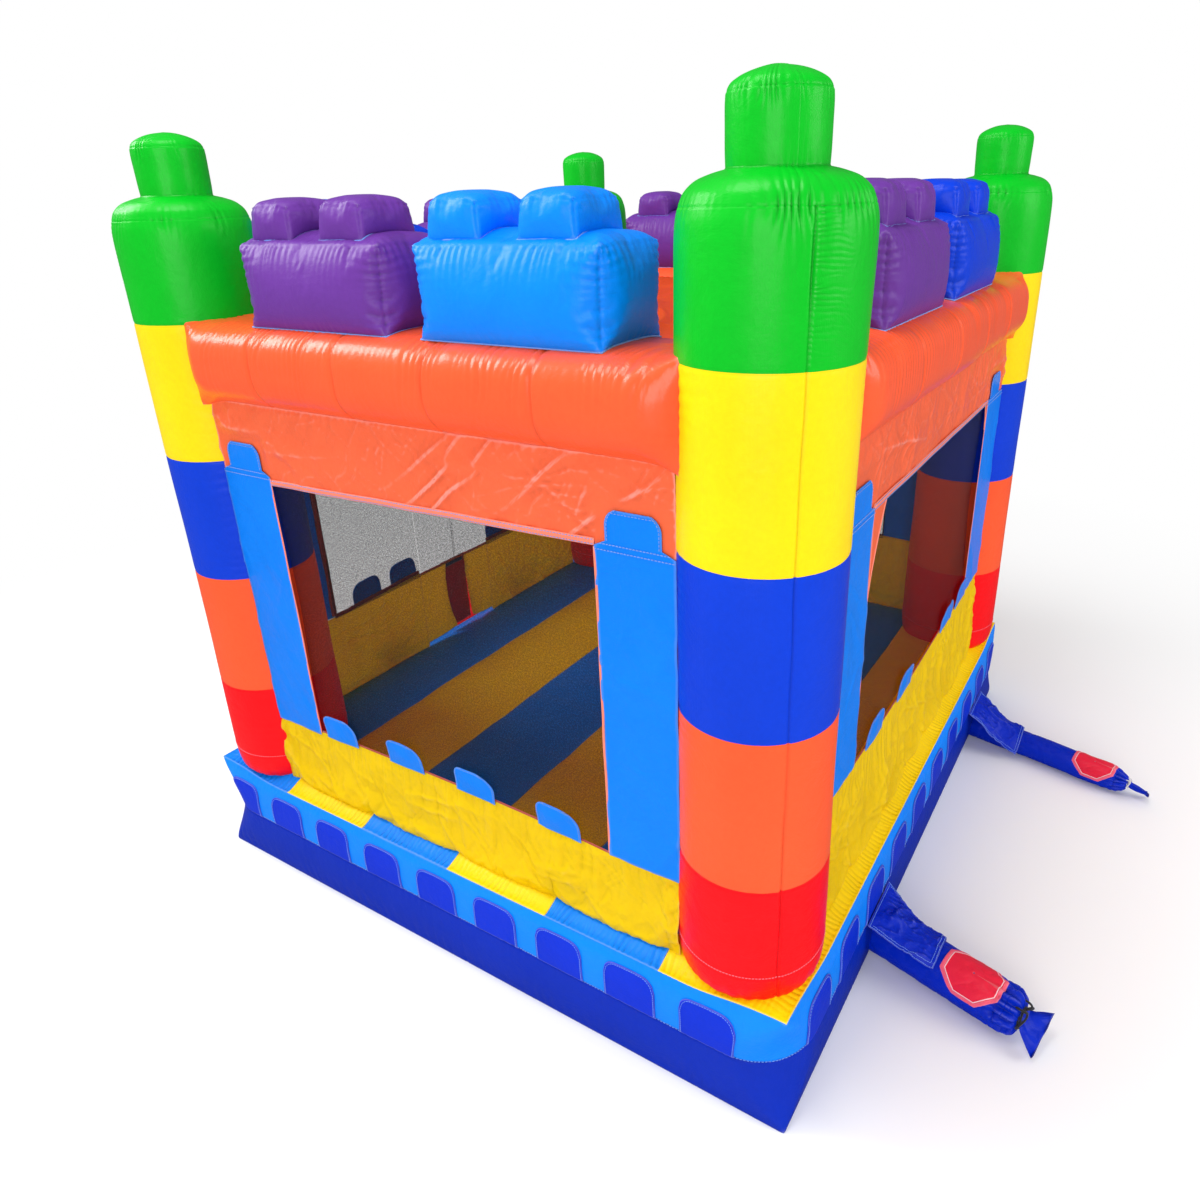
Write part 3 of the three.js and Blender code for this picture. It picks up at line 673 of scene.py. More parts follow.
def build_base():
    heights = np.concatenate([
        np.linspace(0.0, 0.06, 10)[:-1], np.linspace(0.06, BAND_SEAM - 0.02, 16)[:-1],
        np.linspace(BAND_SEAM - 0.02, BAND_SEAM + 0.02, 12)[:-1],
        np.linspace(BAND_SEAM + 0.02, FLOOR - 0.07, 16)[:-1], np.linspace(FLOOR - 0.07, FLOOR - 0.004, 14),
    ])
    loops = []
    for side in SIDES:
        half = (TOP_X if side in ("front", "back") else TOP_Y) + GROUND_INSET
        along = np.linspace(-half, half, int(2 * half / 0.009))[:-1]
        loops.append(base_side(side, along[None, :], heights[:, None]))
    ring = np.concatenate(loops, axis=1)
    rows, columns = ring.shape[:2]
    faces = grid_quads(rows, columns, wrap=True)
    middle = 0.5 * (heights[:-1] + heights[1:])
    slots = np.repeat((middle > BAND_SEAM).astype(int), columns)
    points = ring.reshape(-1, 3)
    inner_low = ring[0] * [0.9, 0.9, 1] + [0, 0, 0.0]
    inner_high = ring[-1] * [0.9, 0.9, 1] - [0, 0, 0.060]
    points = np.concatenate([points, inner_low, inner_high, [[0, 0, 0]], [[0, 0, inner_high[0, 2]]]])
    low, high = rows * columns, (rows + 1) * columns
    index = np.arange(columns)
    ahead = np.roll(index, -1)
    bottom = np.stack([index + low, ahead + low, ahead, index], -1)
    top = np.stack([index + (rows - 1) * columns, ahead + (rows - 1) * columns, ahead + high, index + high], -1)
    hub = (rows + 2) * columns
    bottom_fan = np.stack([np.full(columns, hub), ahead + low, index + low], -1)
    top_fan = np.stack([np.full(columns, hub + 1), index + high, ahead + high], -1)
    all_slots = np.concatenate([slots, np.zeros(columns), np.ones(columns), np.zeros(columns), np.ones(columns)])
    obj = add_mesh(
        "base_cushion", points, [np.concatenate([faces, bottom, top]), np.concatenate([bottom_fan, top_fan])],
        [DEEP_BLUE, SKY], all_slots,
    )
    finish_piece(obj, "house", "base_vinyl", "base_skin", "floor_baffles")


ARCH_WIDTH = 0.218
ARCH_HEIGHT = 0.172
ARCH_CORNER = 0.050
ARCH_PITCH = 0.3178
ARCHES = {"front": (9, -0.054), "right": (10, 0.020), "back": (9, 0.0), "left": (10, 0.0)}


def build_arches():
    """Royal-blue arch patches sewn on the light-blue band, standing on its seam."""
    for side, (count, shift) in ARCHES.items():
        bundle = Bundle()
        skip = {4, 5} if side == "left" else set()
        for number in range(count):
            if number in skip and side == "left":
                continue
            centre = shift + (number - (count - 1) / 2) * ARCH_PITCH
            u = np.linspace(-ARCH_WIDTH / 2, ARCH_WIDTH / 2, 27)
            in_corner = np.clip(np.abs(u) - (ARCH_WIDTH / 2 - ARCH_CORNER), 0, None)
            top = ARCH_HEIGHT - ARCH_CORNER + np.sqrt(np.maximum(ARCH_CORNER ** 2 - in_corner ** 2, 0))
            top = top + 0.008 * np.cos(np.pi * u / ARCH_WIDTH)
            share = np.linspace(0, 1, 24)[:, None]
            height = BAND_SEAM + 0.003 + share * (top[None, :] - 0.003)
            along = np.broadcast_to(centre + u[None, :], height.shape)
            surface = lambda a, h, side=side: base_side(side, a, h)
            patch, _ = on_surface(surface, along, height, 0.0030)
            bundle.add(*[part if i == 0 else [part] for i, part in enumerate(sheet_parts(patch, 0.0030))])
            edge_u = np.concatenate([[u[0] + 0.006] * 8, u[1:-1] * 0.94, [u[-1] - 0.006] * 8])
            rise = np.linspace(0.01, top[0] - 0.006, 8)
            edge_h = np.concatenate([rise, top[1:-1] - 0.007, rise[::-1]]) + BAND_SEAM
            path, normal = on_surface(surface, centre + edge_u, edge_h, 0.0050)
            add_stitches(threads["house"], path, normal, dash=0.007, pitch=0.010, width=0.0016)
        obj = bundle.build(f"arch_patches_{side}", ARCH_BLUE)
        finish_piece(obj, "house", "royal_blue_vinyl")


def build_base_stitches():
    for side in SIDES:
        half = (TOP_X if side in ("front", "back") else TOP_Y) + GROUND_INSET
        along = np.linspace(-half + 0.002, half - 0.002, 360)
        surface = lambda a, h, side=side: base_side(side, a, h)
        for height in (BAND_SEAM + 0.006,):
            path, normal = on_surface(surface, along, np.full_like(along, height), 0.0015)
            add_stitches(threads["house"], path, normal, dash=0.009, pitch=0.0125, width=0.0024)


# ------------------------------------------------------------------ floor panels


def floor_height(x, y):
    """The jumping surface: channels between the sewn seams, falling to a gathered
    edge all round."""
    edge_x, edge_y = TOP_X - np.abs(x), TOP_Y - np.abs(y)
    edge = np.minimum(edge_x, edge_y)
    seam = np.abs((x + TOP_X + GROUND_INSET) / STRIPE_PITCH - np.round((x + TOP_X + GROUND_INSET) / STRIPE_PITCH))
    crown = np.sqrt(np.clip(2 * seam, 0, 1))
    inner = smooth(0.0, 0.35, edge)
    height = FLOOR - 0.004 + 0.014 * smooth(0, 0.10, edge) + 0.026 * inner * (crown - 0.55)
    ripple_x = puckers(y, edge_x, 0.025, 0.150, 61, 0.3) * smooth(0.0, 0.10, edge_y) * smooth(0.0, 0.012, edge_x)
    ripple_y = puckers(x, edge_y, 0.025, 0.150, 62, 0.3) * smooth(0.0, 0.10, edge_x) * smooth(0.0, 0.012, edge_y)
    height = height - 0.0062 * ripple_x - 0.0062 * ripple_y
    height = height + 0.004 * inner * noise(x * 5, y * 5, seed=63)
    height = height - 0.006 * inner * np.maximum(0, noise(x * 2.2, y * 7.5, seed=64)) ** 2
    return height


def edge_pull(x, y):
    """How far the long edges of the base give way, near the x and the y ends."""
    at_x = smooth(0.20, 0.0, TOP_X - np.abs(x)) * edge_bow(y, TOP_Y)
    at_y = smooth(0.20, 0.0, TOP_Y - np.abs(y)) * edge_bow(x, TOP_X)
    return at_x, at_y


def floor_fall(x, y):
    """The drop of the jumping surface towards the middle of each edge."""
    return EDGE_FALL * np.maximum(*edge_pull(x, y)) ** 1.6


def build_floor():
    edge_rows = np.linspace(0, 0.34, 44)
    fine = 0.0050
    for stripe in range(STRIPES):
        left = max(-TOP_X, -TOP_X - GROUND_INSET + stripe * STRIPE_PITCH + 0.0005)
        right = min(TOP_X, -TOP_X - GROUND_INSET + (stripe + 1) * STRIPE_PITCH - 0.0005)
        xs = np.linspace(left, right, int((right - left) / fine))
        if stripe in (0, STRIPES - 1):
            ys = np.linspace(-TOP_Y, TOP_Y, int(2 * TOP_Y / fine))
        else:
            middle = np.linspace(-TOP_Y + 0.34, TOP_Y - 0.34, 120)
            ys = np.concatenate([-TOP_Y + edge_rows[:-1], middle, (TOP_Y - edge_rows[:-1])[::-1]])
        x, y = np.meshgrid(xs, ys)
        at_x, at_y = edge_pull(x, y)
        z = floor_height(x, y) - floor_fall(x, y)
        grid = np.stack([x + EDGE_BOW * np.sign(x) * at_x, y + EDGE_BOW * np.sign(y) * at_y, z], -1)
        obj = add_sheet(f"floor_stripe_{stripe + 1}", grid, YELLOW if stripe % 2 else SKY, 0.003)
        slot = "yellow_vinyl" if stripe % 2 else "light_blue_vinyl"
        finish_piece(obj, "house", slot, f"floor_panel_{stripe + 1}")


# -------------------------------------------------------------------- columns


def smooth_curve(points, count):
    """A Catmull-Rom curve through points, evenly spaced along its length."""
    points = np.asarray(points, float)
    padded = np.concatenate([[2 * points[0] - points[1]], points, [2 * points[-1] - points[-2]]])
    dense = []
    for k in range(1, len(padded) - 2):
        t = np.linspace(0, 1, 24, endpoint=False)[:, None]
        p0, p1, p2, p3 = padded[k - 1], padded[k], padded[k + 1], padded[k + 2]
        dense.append(0.5 * (
            2 * p1 + (p2 - p0) * t + (2 * p0 - 5 * p1 + 4 * p2 - p3) * t ** 2
            + (3 * p1 - p0 - 3 * p2 + p3) * t ** 3
        ))
    dense = np.concatenate(dense + [points[-1:]])
    lengths = np.concatenate([[0], np.cumsum(np.linalg.norm(np.diff(dense, axis=0), axis=1))])
    places = np.linspace(0, lengths[-1], count)
    return np.stack([np.interp(places, lengths, dense[:, k]) for k in range(2)], -1)


def column_outline():
    """(radius, height) up a column, from the foot to the apex of its stud."""
    foot = smooth_curve([(0.236, FLOOR - 0.014), (0.2500, FLOOR + 0.010), (0.2575, FLOOR + 0.05),
                         (0.2610, FLOOR + 0.10)], 26)
    heights = np.linspace(FLOOR + 0.106, BAND_HEIGHTS[3], 250)
    wall = np.stack([COLUMN_RADIUS + 0.006 * smooth(1.3, FLOOR + 0.1, heights), heights], -1)
    head = smooth_curve([(COLUMN_RADIUS, BAND_HEIGHTS[3] + 0.008), (0.2555, 2.72), (0.2560, 2.82),
                         (0.2555, 2.89), (0.2530, 2.935), (0.2460, SHOULDER_SEAM)], 180)
    shoulder = smooth_curve([(0.2445, SHOULDER_SEAM + 0.004), (0.2310, 3.003), (0.2030, 3.028),
                             (0.1650, 3.043), (0.1300, STUD_FOOT)], 34)
    stud = smooth_curve([(0.1275, STUD_FOOT + 0.004), (0.1290, 3.09), (0.1300, 3.14), (0.1310, 3.19),
                         (0.1298, STUD_SEAM)], 60)
    crown = smooth_curve([(0.1280, STUD_SEAM + 0.003), (0.1160, 3.242), (0.0880, 3.258), (0.0500, 3.270),
                          (0.0040, COLUMN_TOP)], 30)
    return np.concatenate([foot, wall, head, shoulder, stud, crown])


def column_relief(angle, along, radius, height, corner_angle, wall_angles, seed):
    """Inward dents of a column's surface at its seams and where the walls pull."""
    arc = angle * COLUMN_RADIUS
    gathers = puckers(arc, height - SHOULDER_SEAM, 0.027, 0.045, seed)
    dent = 0.0045 * gathers + 0.0060 * gathers ** 4
    dent += 0.0016 * groove(height - SHOULDER_SEAM, 0.003)
    dent += 0.0042 * puckers(angle * 0.13, height - STUD_SEAM, 0.018, 0.028, seed + 1) * (height > STUD_FOOT)
    dent += 0.0028 * groove(height - STUD_SEAM, 0.003)
    dent += 0.0015 * puckers(angle * 0.13, height - STUD_FOOT, 0.028, 0.018, seed + 2)
    for band in BAND_HEIGHTS:
        dent += 0.0022 * groove(height - band, 0.004)
        dent += 0.0012 * puckers(arc, height - band, 0.060, 0.020, seed + 3)
    turn = np.angle(np.exp(1j * (angle - corner_angle)))
    beside = turn * COLUMN_RADIUS
    below = height < SHOULDER_SEAM
    head = smooth(BAND_HEIGHTS[3] - 0.05, BAND_HEIGHTS[3] + 0.25, height)
    right = np.where(beside > 0, 1.0, 0.12)
    top_fold = groove(height - 2.83, 0.09)
    dent += (0.0055 + 0.006 * top_fold) * groove(beside - 0.003 * noise(height * 6, seed=seed), 0.0048) * below
    dent += (0.0005 + 0.0032 * head) * right * puckers(height, beside, 0.014, 0.046, seed + 4, 0.70) * below
    for wall in wall_angles:
        apart = np.angle(np.exp(1j * (angle - wall))) * COLUMN_RADIUS
        reached = smooth(BEAM_HIGH.z + 0.03, BEAM_HIGH.z - 0.05, height) * smooth(FLOOR, FLOOR + 0.2, height)
        dent += 0.0028 * puckers(height, apart, 0.042, 0.075, seed + 5) * reached * smooth(0.0, 0.02, np.abs(apart))
    dent += 0.0020 * noise(arc * 4, height * 3, seed=seed + 6)
    foot = smooth(FLOOR + 0.10, FLOOR, height)
    dent += 0.004 * foot * puckers(arc, height - FLOOR, 0.055, 0.060, seed + 8)
    dent += 0.003 * groove(height - (FLOOR + 0.110), 0.004)
    return dent


HEAD_LEAN = {"front_left": 0.004, "front_right": 0.012, "back_left": -0.030, "back_right": 0.0}


def build_columns():
    outline = column_outline()
    slope = np.gradient(outline, axis=0)
    slope /= np.linalg.norm(slope, axis=1, keepdims=True)
    out = np.stack([slope[:, 1], -slope[:, 0]], -1)
    count = 256
    colours = [RED, ORANGE, BLUE, YELLOW, GREEN]
    for number, (name, sx, sy) in enumerate((
        ("front_left", -1, -1), ("front_right", 1, -1), ("back_left", -1, 1), ("back_right", 1, 1),
    )):
        corner_angle = math.atan2(sy, sx)
        turn = 2 * np.pi * np.arange(count)[None, :] / count
        angle = corner_angle + turn - 0.55 * np.sin(turn)  # closer together at the corner seam
        pull = math.sqrt(COLUMN_RADIUS ** 2 - WALL_OFFSET ** 2)
        wall_angles = (math.atan2(sy * WALL_OFFSET, -sx * pull), math.atan2(-sy * pull, sx * WALL_OFFSET))
        radius = np.broadcast_to(outline[:, :1], (len(outline), count))
        height = np.broadcast_to(outline[:, 1:], (len(outline), count))
        dent = column_relief(angle, None, radius, height, corner_angle, wall_angles, 100 + 11 * number)
        fade = smooth(0.0, 0.05, radius)
        r = radius - dent * out[:, :1] * fade
        z = height - dent * out[:, 1:] * fade
        lean = HEAD_LEAN[name] * smooth(2.2, 3.1, z)
        ring = np.stack([sx * COLUMN_X + r * np.cos(angle) + lean, sy * COLUMN_Y + r * np.sin(angle), z], -1)
        rows = len(outline)
        faces = grid_quads(rows, count, wrap=True)
        middle = 0.5 * (outline[:-1, 1] + outline[1:, 1])
        slots = np.repeat(np.searchsorted(BAND_HEIGHTS, middle), count)
        hubs = [[sx * COLUMN_X, sy * COLUMN_Y, FLOOR - 0.014],
                [sx * COLUMN_X + HEAD_LEAN[name], sy * COLUMN_Y, COLUMN_TOP]]
        points = np.concatenate([ring.reshape(-1, 3), hubs])
        index = np.arange(count)
        ahead = np.roll(index, -1)
        low = np.stack([np.full(count, rows * count), ahead, index], -1)
        last = (rows - 1) * count
        high = np.stack([np.full(count, rows * count + 1), index + last, ahead + last], -1)
        slots = np.concatenate([slots, np.zeros(count), np.full(count, 4)])
        obj = add_mesh(f"column_tube_{name}", points, [faces, np.concatenate([low, high])], colours, slots)
        finish_piece(obj, "house", "column_vinyl", f"column_{name}")
        stitch_height = FLOOR + 0.110
        row = int(np.argmin(np.abs(outline[:, 1] - stitch_height)))
        angle = np.broadcast_to(angle, (1, count))
        normal = np.stack([np.cos(angle[0]), np.sin(angle[0]), np.zeros(count)], -1)
        ring_path = np.concatenate([ring[row], ring[row][:1]])
        add_stitches(red_threads, ring_path + 0.001 * np.concatenate([normal, normal[:1]]),
                     np.concatenate([normal, normal[:1]]), dash=0.008, pitch=0.011, width=0.0024)


# ---------------------------------------------------------------------- beams


BEAM_SQUARENESS = 3.3  # of its upper half; the lower half is rounder
BEAM_LOW_SQUARENESS = 2.5
BEAM_END_REACH = 0.190  # outward depth of the upright seams that join a beam to its columns
BEAM_END_TAPER = 0.13  # how far from those seams a beam's section starts to square up


def beam_drop(depth):
    """How far a beam's top has fallen at a distance from its axis."""
    half_height = (BEAM_HIGH.z - BEAM_LOW.z) / 2
    share = np.clip(np.abs(depth) / COLUMN_RADIUS, 0, 0.999)
    return half_height * (1 - (1 - share ** BEAM_SQUARENESS) ** (1 / BEAM_SQUARENESS))


def build_beams():
    middle = (BEAM_HIGH.z + BEAM_LOW.z) / 2
    half_height = (BEAM_HIGH.z - BEAM_LOW.z) / 2
    count = 150
    for number, side in enumerate(SIDES):
        span = SPAN[side]
        turn = np.linspace(0, 2 * np.pi, 4 * count, endpoint=False)
        sine, cosine = np.sin(turn), np.cos(turn)
        power = 2 / np.where(cosine > 0, BEAM_SQUARENESS, BEAM_LOW_SQUARENESS)
        section = np.stack([
            (COLUMN_RADIUS - 0.001) * np.sign(sine) * np.abs(sine) ** power,
            half_height * np.sign(cosine) * np.abs(cosine) ** power,
        ], -1)
        closed = np.concatenate([section, section[:1]])
        length = np.concatenate([[0], np.cumsum(np.linalg.norm(np.diff(closed, axis=0), axis=1))])
        places = np.linspace(0, length[-1], count, endpoint=False)
        section = np.stack([np.interp(places, length, closed[:, k]) for k in range(2)], -1)
        tangent = np.roll(section, -1, axis=0) - np.roll(section, 1, axis=0)
        tangent /= np.linalg.norm(tangent, axis=1, keepdims=True)
        normal = np.stack([-tangent[:, 1], tangent[:, 0]], -1)
        normal *= np.sign((normal * section).sum(1, keepdims=True))
        # each lengthwise line ends where it meets the column or the mitre
        depth = section[:, 0]
        reach = np.where(depth > 0.02, BEAM_END_REACH, COLUMN_RADIUS)
        longest = np.maximum(np.abs(section[:, 0] / (COLUMN_RADIUS - 0.001)), np.abs(section[:, 1] / half_height))
        boxed = np.stack([section[:, 0] * reach / COLUMN_RADIUS, section[:, 1] * 0.985], -1) / longest[:, None]
        boxed = np.where(depth[:, None] > 0.02, boxed, section)
        to_column = span - np.sqrt(np.maximum((COLUMN_RADIUS - 0.006) ** 2 - boxed[:, 0] ** 2, 0))
        end = np.where(depth < -0.04, np.minimum(to_column, span + depth - 0.002), to_column)
        rows = int(2 * span / 0.0085)
        share = np.linspace(-1, 1, rows)[:, None]
        along = share * end[None, :]
        before_end = np.clip((end[None, :] - np.abs(along)) / BEAM_END_TAPER, 0, 1)
        # sewn along a straight line down the column's front, so its ends are square
        square = (1 - before_end) ** 2.2
        depths = depth[None, :] + square * (boxed[:, 0] - depth)[None, :]
        height = middle + section[None, :, 1] + square * (boxed[:, 1] - section[:, 1])[None, :]
        arc = np.broadcast_to(places, along.shape)
        front = smooth(0.02, 0.12, depths)
        seed = 200 + 10 * number
        dent = 0.0085 * front * puckers(along + 0.10 * (arc - 0.20), np.maximum(arc - 0.20, 0.3 * (0.20 - arc)),
                                        0.029, 0.105, seed)
        dent += 0.0022 * front * puckers(along, arc - length[-1] * 0.40, 0.050, 0.050, seed + 1)
        dent += 0.0045 * noise(along * 2.2, arc * 2.4, seed=seed + 2)
        for seam in (-0.52, -0.17, 0.16, 0.50):
            place = seam * span + 0.010 * noise(arc * 6, seam * 9, seed=seed)
            dent += 0.0070 * groove(along - place, 0.007) * front
        dent += 0.012 * groove(arc - length[-1] * 0.405, 0.010) * front
        dent *= 1 - 0.8 * square
        near_end = smooth(0.060, 0.01, end[None, :] - np.abs(along)) * smooth(0.0, 0.01, end[None, :] - np.abs(along))
        dent += 0.005 * near_end * puckers(arc, 0 * arc, 0.030, 1.0, seed + 4)
        grid = to_world(side, along, depths - dent * normal[None, :, 0], height - dent * normal[None, :, 1])
        hubs = to_world(side, np.array([-end.min(), end.min()]), np.zeros(2), np.full(2, middle))
        points = np.concatenate([grid.reshape(-1, 3), hubs])
        index = np.arange(count)
        ahead = np.roll(index, -1)
        low = np.stack([np.full(count, rows * count), ahead, index], -1)
        last = (rows - 1) * count
        high = np.stack([np.full(count, rows * count + 1), index + last, ahead + last], -1)
        obj = add_mesh(f"beam_tube_{side}", points,
                       [grid_quads(rows, count, wrap=True), np.concatenate([low, high])], BEAM_ORANGE)
        finish_piece(obj, "house", "orange_vinyl", f"beam_{side}")


# --------------------------------------------------------------------- bricks


def box_grid(size, step):
    """A closed box of small quads, centred on the origin and standing on z = 0."""
    counts = [max(2, int(round(s / step))) for s in size]
    lines = [np.linspace(-s / 2, s / 2, n + 1) for s, n in zip(size, counts)]
    lines[2] = lines[2] + size[2] / 2
    points, faces, total = [], [], 0
    for axis in range(3):
        first, second = (axis + 1) % 3, (axis + 2) % 3
        a, b = np.meshgrid(lines[first], lines[second], indexing="ij")
        for value, flip in ((lines[axis][0], True), (lines[axis][-1], False)):
            block = np.empty(a.shape + (3,))
            block[..., first], block[..., second], block[..., axis] = a, b, value
            quads = grid_quads(*a.shape)
            faces.append((quads if flip else quads[:, ::-1]) + total)
            points.append(block.reshape(-1, 3))
            total += a.size
    points, faces = np.concatenate(points), np.concatenate(faces)
    keys, first, inverse = np.unique(np.round(points, 6), axis=0, return_index=True, return_inverse=True)
    return points[first], inverse.reshape(-1)[faces]


def halved(points, faces):
    """Splits every quad in four and smooths the result, as Blender does."""
    obj = add_mesh("halved_work", points, [faces], [])
    modifier = obj.modifiers.new("halve", "SUBSURF")
    modifier.levels = 1
    evaluated = obj.evaluated_get(bpy.context.evaluated_depsgraph_get())
    result = np.empty(len(evaluated.data.vertices) * 3, np.float32)
    evaluated.data.vertices.foreach_get("co", result)
    corners = np.empty(len(evaluated.data.loops), np.int32)
    evaluated.data.loops.foreach_get("vertex_index", corners)
    bpy.data.objects.remove(obj)
    return result.reshape(-1, 3).astype(float), corners.reshape(-1, 4)


def vertex_normals(points, faces):
    a, b, c, d = (points[faces[:, k]] for k in range(4))
    flat = np.cross(c - a, d - b)
    normals = np.zeros_like(points)
    for k in range(4):
        np.add.at(normals, faces[:, k], flat)
    return normals / np.maximum(np.linalg.norm(normals, axis=1, keepdims=True), 1e-12)


def inflated_box(size, step, pressure, frames, seed, draw, spread, lift):
    """An inflated block sewn down along its bottom edges, which stay sharp, with
    the gathers that its sewn edges leave. Returns its points and faces."""
    points, faces = box_grid(size, step)
    bottom = points[:, 2] < 1e-6
    blown = inflate_or_drape(points, [faces], bottom, frames, pressure=pressure, tension=60,
                             bending=0.08, quality=7)
    blown, fine = halved(blown, faces)
    flat, fine = halved(points, faces)
    # the sewn corners are drawn in and down as the block swells, and its top spreads
    share = np.clip(flat[:, 2] / size[2], 0, 1)
    near_x = smooth(0.45, 1.0, 2 * np.abs(flat[:, 0]) / size[0])
    near_y = smooth(0.45, 1.0, 2 * np.abs(flat[:, 1]) / size[1])
    drawn = draw * near_x * near_y
    blown[:, 0] -= np.sign(flat[:, 0]) * drawn * share ** 1.2
    blown[:, 1] -= np.sign(flat[:, 1]) * drawn * share ** 1.2
    blown[:, 2] -= 0.9 * drawn * share ** 5
    blown[:, 0] *= 1 + spread * share ** 1.2
    blown[:, 1] *= 1 + spread * share ** 1.2
    rim = smooth(0.60, 1.0, np.maximum(2 * np.abs(flat[:, 0]) / size[0], 2 * np.abs(flat[:, 1]) / size[1]))
    blown[:, 2] += lift * rim * share ** 3
    normal = vertex_normals(blown, fine)
    if (normal * (blown - blown.mean(0))).sum() < 0:
        normal = -normal
    half_x, half_y, top = size[0] / 2, size[1] / 2, size[2]
    to_x, to_y, to_top = half_x - np.abs(flat[:, 0]), half_y - np.abs(flat[:, 1]), top - flat[:, 2]
    on_top = to_top < 0.25 * step
    wall = ~on_top & (flat[:, 2] > 0.004)
    scale = min(1.0, size[0] / 0.4)
    dent = np.zeros(len(flat))
    run = np.where(to_y < to_x, flat[:, 0], flat[:, 1])
    dent += wall * 0.0062 * scale * puckers(run, to_top, 0.028, 0.060 * scale, seed, 0.25)
    dent += wall * 0.0020 * scale * puckers(run, flat[:, 2], 0.036, 0.030 * scale, seed + 1)
    aside = np.where(to_y < to_x, to_x, to_y)
    middle = smooth(0.0, 0.06, flat[:, 2])
    dent += wall * 0.0068 * scale * middle * puckers(flat[:, 2], aside, 0.025, 0.050 * scale, seed + 2, 0.55)
    dent += wall * 0.0045 * groove(aside, 0.006)
    edge = np.minimum(to_x, to_y)
    around = np.where(to_y < to_x, flat[:, 0], flat[:, 1])
    dent += on_top * 0.0035 * scale * puckers(around, edge, 0.030, 0.035 * scale, seed)
    dent += 0.0025 * groove(to_top, 0.006) * ~on_top
    return blown - dent[:, None] * normal, fine, flat[:, 2] / top


def build_bricks():
    low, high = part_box("brick_front_1")
    length, depth = high.x - low.x, high.y - low.y
    body_height = 0.272
    stud_height = high.z - low.z - body_height - 0.034
    body, body_faces, body_share = inflated_box(
        (length - 0.006, depth - 0.034, body_height), 0.0125, 9.0, 24, 800, 0.012, 0.055, 0.016)
    stud_size = (0.210, 0.246, stud_height)
    stud, stud_faces, stud_share = inflated_box(stud_size, 0.0105, 9.0, 20, 820, 0.012, 0.02, 0.004)
    tree = BVHTree.FromPolygons([Vector(p) for p in body], [list(map(int, f)) for f in body_faces])

    def body_top(x, y):
        return np.array([tree.ray_cast(Vector((a, b, 1.0)), Vector((0, 0, -1)))[0].z for a, b in zip(x, y)])

    seated = []
    for shift in (-0.176, 0.176):
        x, y = stud[:, 0] + shift, stud[:, 1]
        x_in, y_in = np.clip(x, -length / 2 + 0.02, length / 2 - 0.02), np.clip(y, -depth / 2 + 0.02, depth / 2 - 0.02)
        base = body_top(x_in, y_in) - 0.004
        level = base.max()
        z = stud[:, 2] + level + (base - level) * (1 - np.clip(stud_share, 0, 1)) ** 1.3
        seated.append((np.stack([x, y, z], -1), shift))
    colours = {
        "front_1": PURPLE, "front_2": SKY, "right_1": PURPLE, "right_2": BLUE,
        "back_1": SKY, "back_2": PURPLE, "left_1": PURPLE, "left_2": BLUE,
    }
    slots = {PURPLE: "purple_vinyl", SKY: "light_blue_vinyl", BLUE: "royal_blue_vinyl"}
    for name, colour in colours.items():
        side = name.split("_")[0]
        low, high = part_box(f"brick_{name}")
        centre = np.array([(low.x + high.x) / 2, (low.y + high.y) / 2, low.z - 0.001])
        turn = SIDES.index(side) * math.pi / 2
        c, s = math.cos(turn), math.sin(turn)
        flip = -1 if name.endswith("2") else 1
        lean = -0.030 if side == "front" else 0.0  # of the studs, along their side
        axis_offset = float(centre @ outward(side)) - REACH[side]

        def placed(points, share):
            x, y, z = points[:, 0] * flip + lean * (share > 0.999).all(), points[:, 1], points[:, 2]
            z = z - beam_drop(axis_offset - y) * (1 - np.clip(share, 0, 1)) ** 1.4
            return np.stack([x * c - y * s, x * s + y * c, z], -1) + centre

        def piping(half_x, half_y, shift, height):
            corners = np.array([[-half_x, -half_y], [half_x, -half_y], [half_x, half_y], [-half_x, half_y]])
            ring = np.concatenate([np.linspace(corners[k], corners[(k + 1) % 4], 40)[:-1] for k in range(4)])
            path = np.concatenate([ring + [shift, 0], height(ring[:, 0] + shift, ring[:, 1])[:, None]], 1)
            pale_piping.add(*cord_parts(placed(path, np.zeros(len(path))), 0.0028, closed=True, sides=6))

        obj = add_mesh(f"brick_block_{name}", placed(body, body_share), [body_faces], colour)
        finish_piece(obj, "house", slots[colour], f"brick_{name}")
        piping(length / 2 - 0.004, depth / 2 - 0.018, 0, lambda x, y: 0 * x + 0.001)
        for number, (points, shift) in enumerate(seated):
            obj = add_mesh(f"brick_stud_{name}_{number + 1}", placed(points, np.ones(len(points))), [stud_faces],
                           colour)
            finish_piece(obj, "house", slots[colour])
            inner = lambda v, limit: np.clip(v, -limit + 0.02, limit - 0.02)
            half_x, half_y = stud_size[0] / 2 - 0.001, stud_size[1] / 2 - 0.001
            corners = np.array([[-half_x, -half_y], [half_x, -half_y], [half_x, half_y], [-half_x, half_y]])
            ring = np.concatenate([np.linspace(corners[k], corners[(k + 1) % 4], 24)[:-1] for k in range(4)])
            ring = ring + [shift, 0]
            height = body_top(inner(ring[:, 0], length / 2), inner(ring[:, 1], depth / 2)) - 0.002
            path = placed(np.concatenate([ring, height[:, None]], 1), np.ones(len(ring)))
            pale_piping.add(*cord_parts(path, 0.0025, closed=True, sides=6))


# ---------------------------------------------------------------------- walls


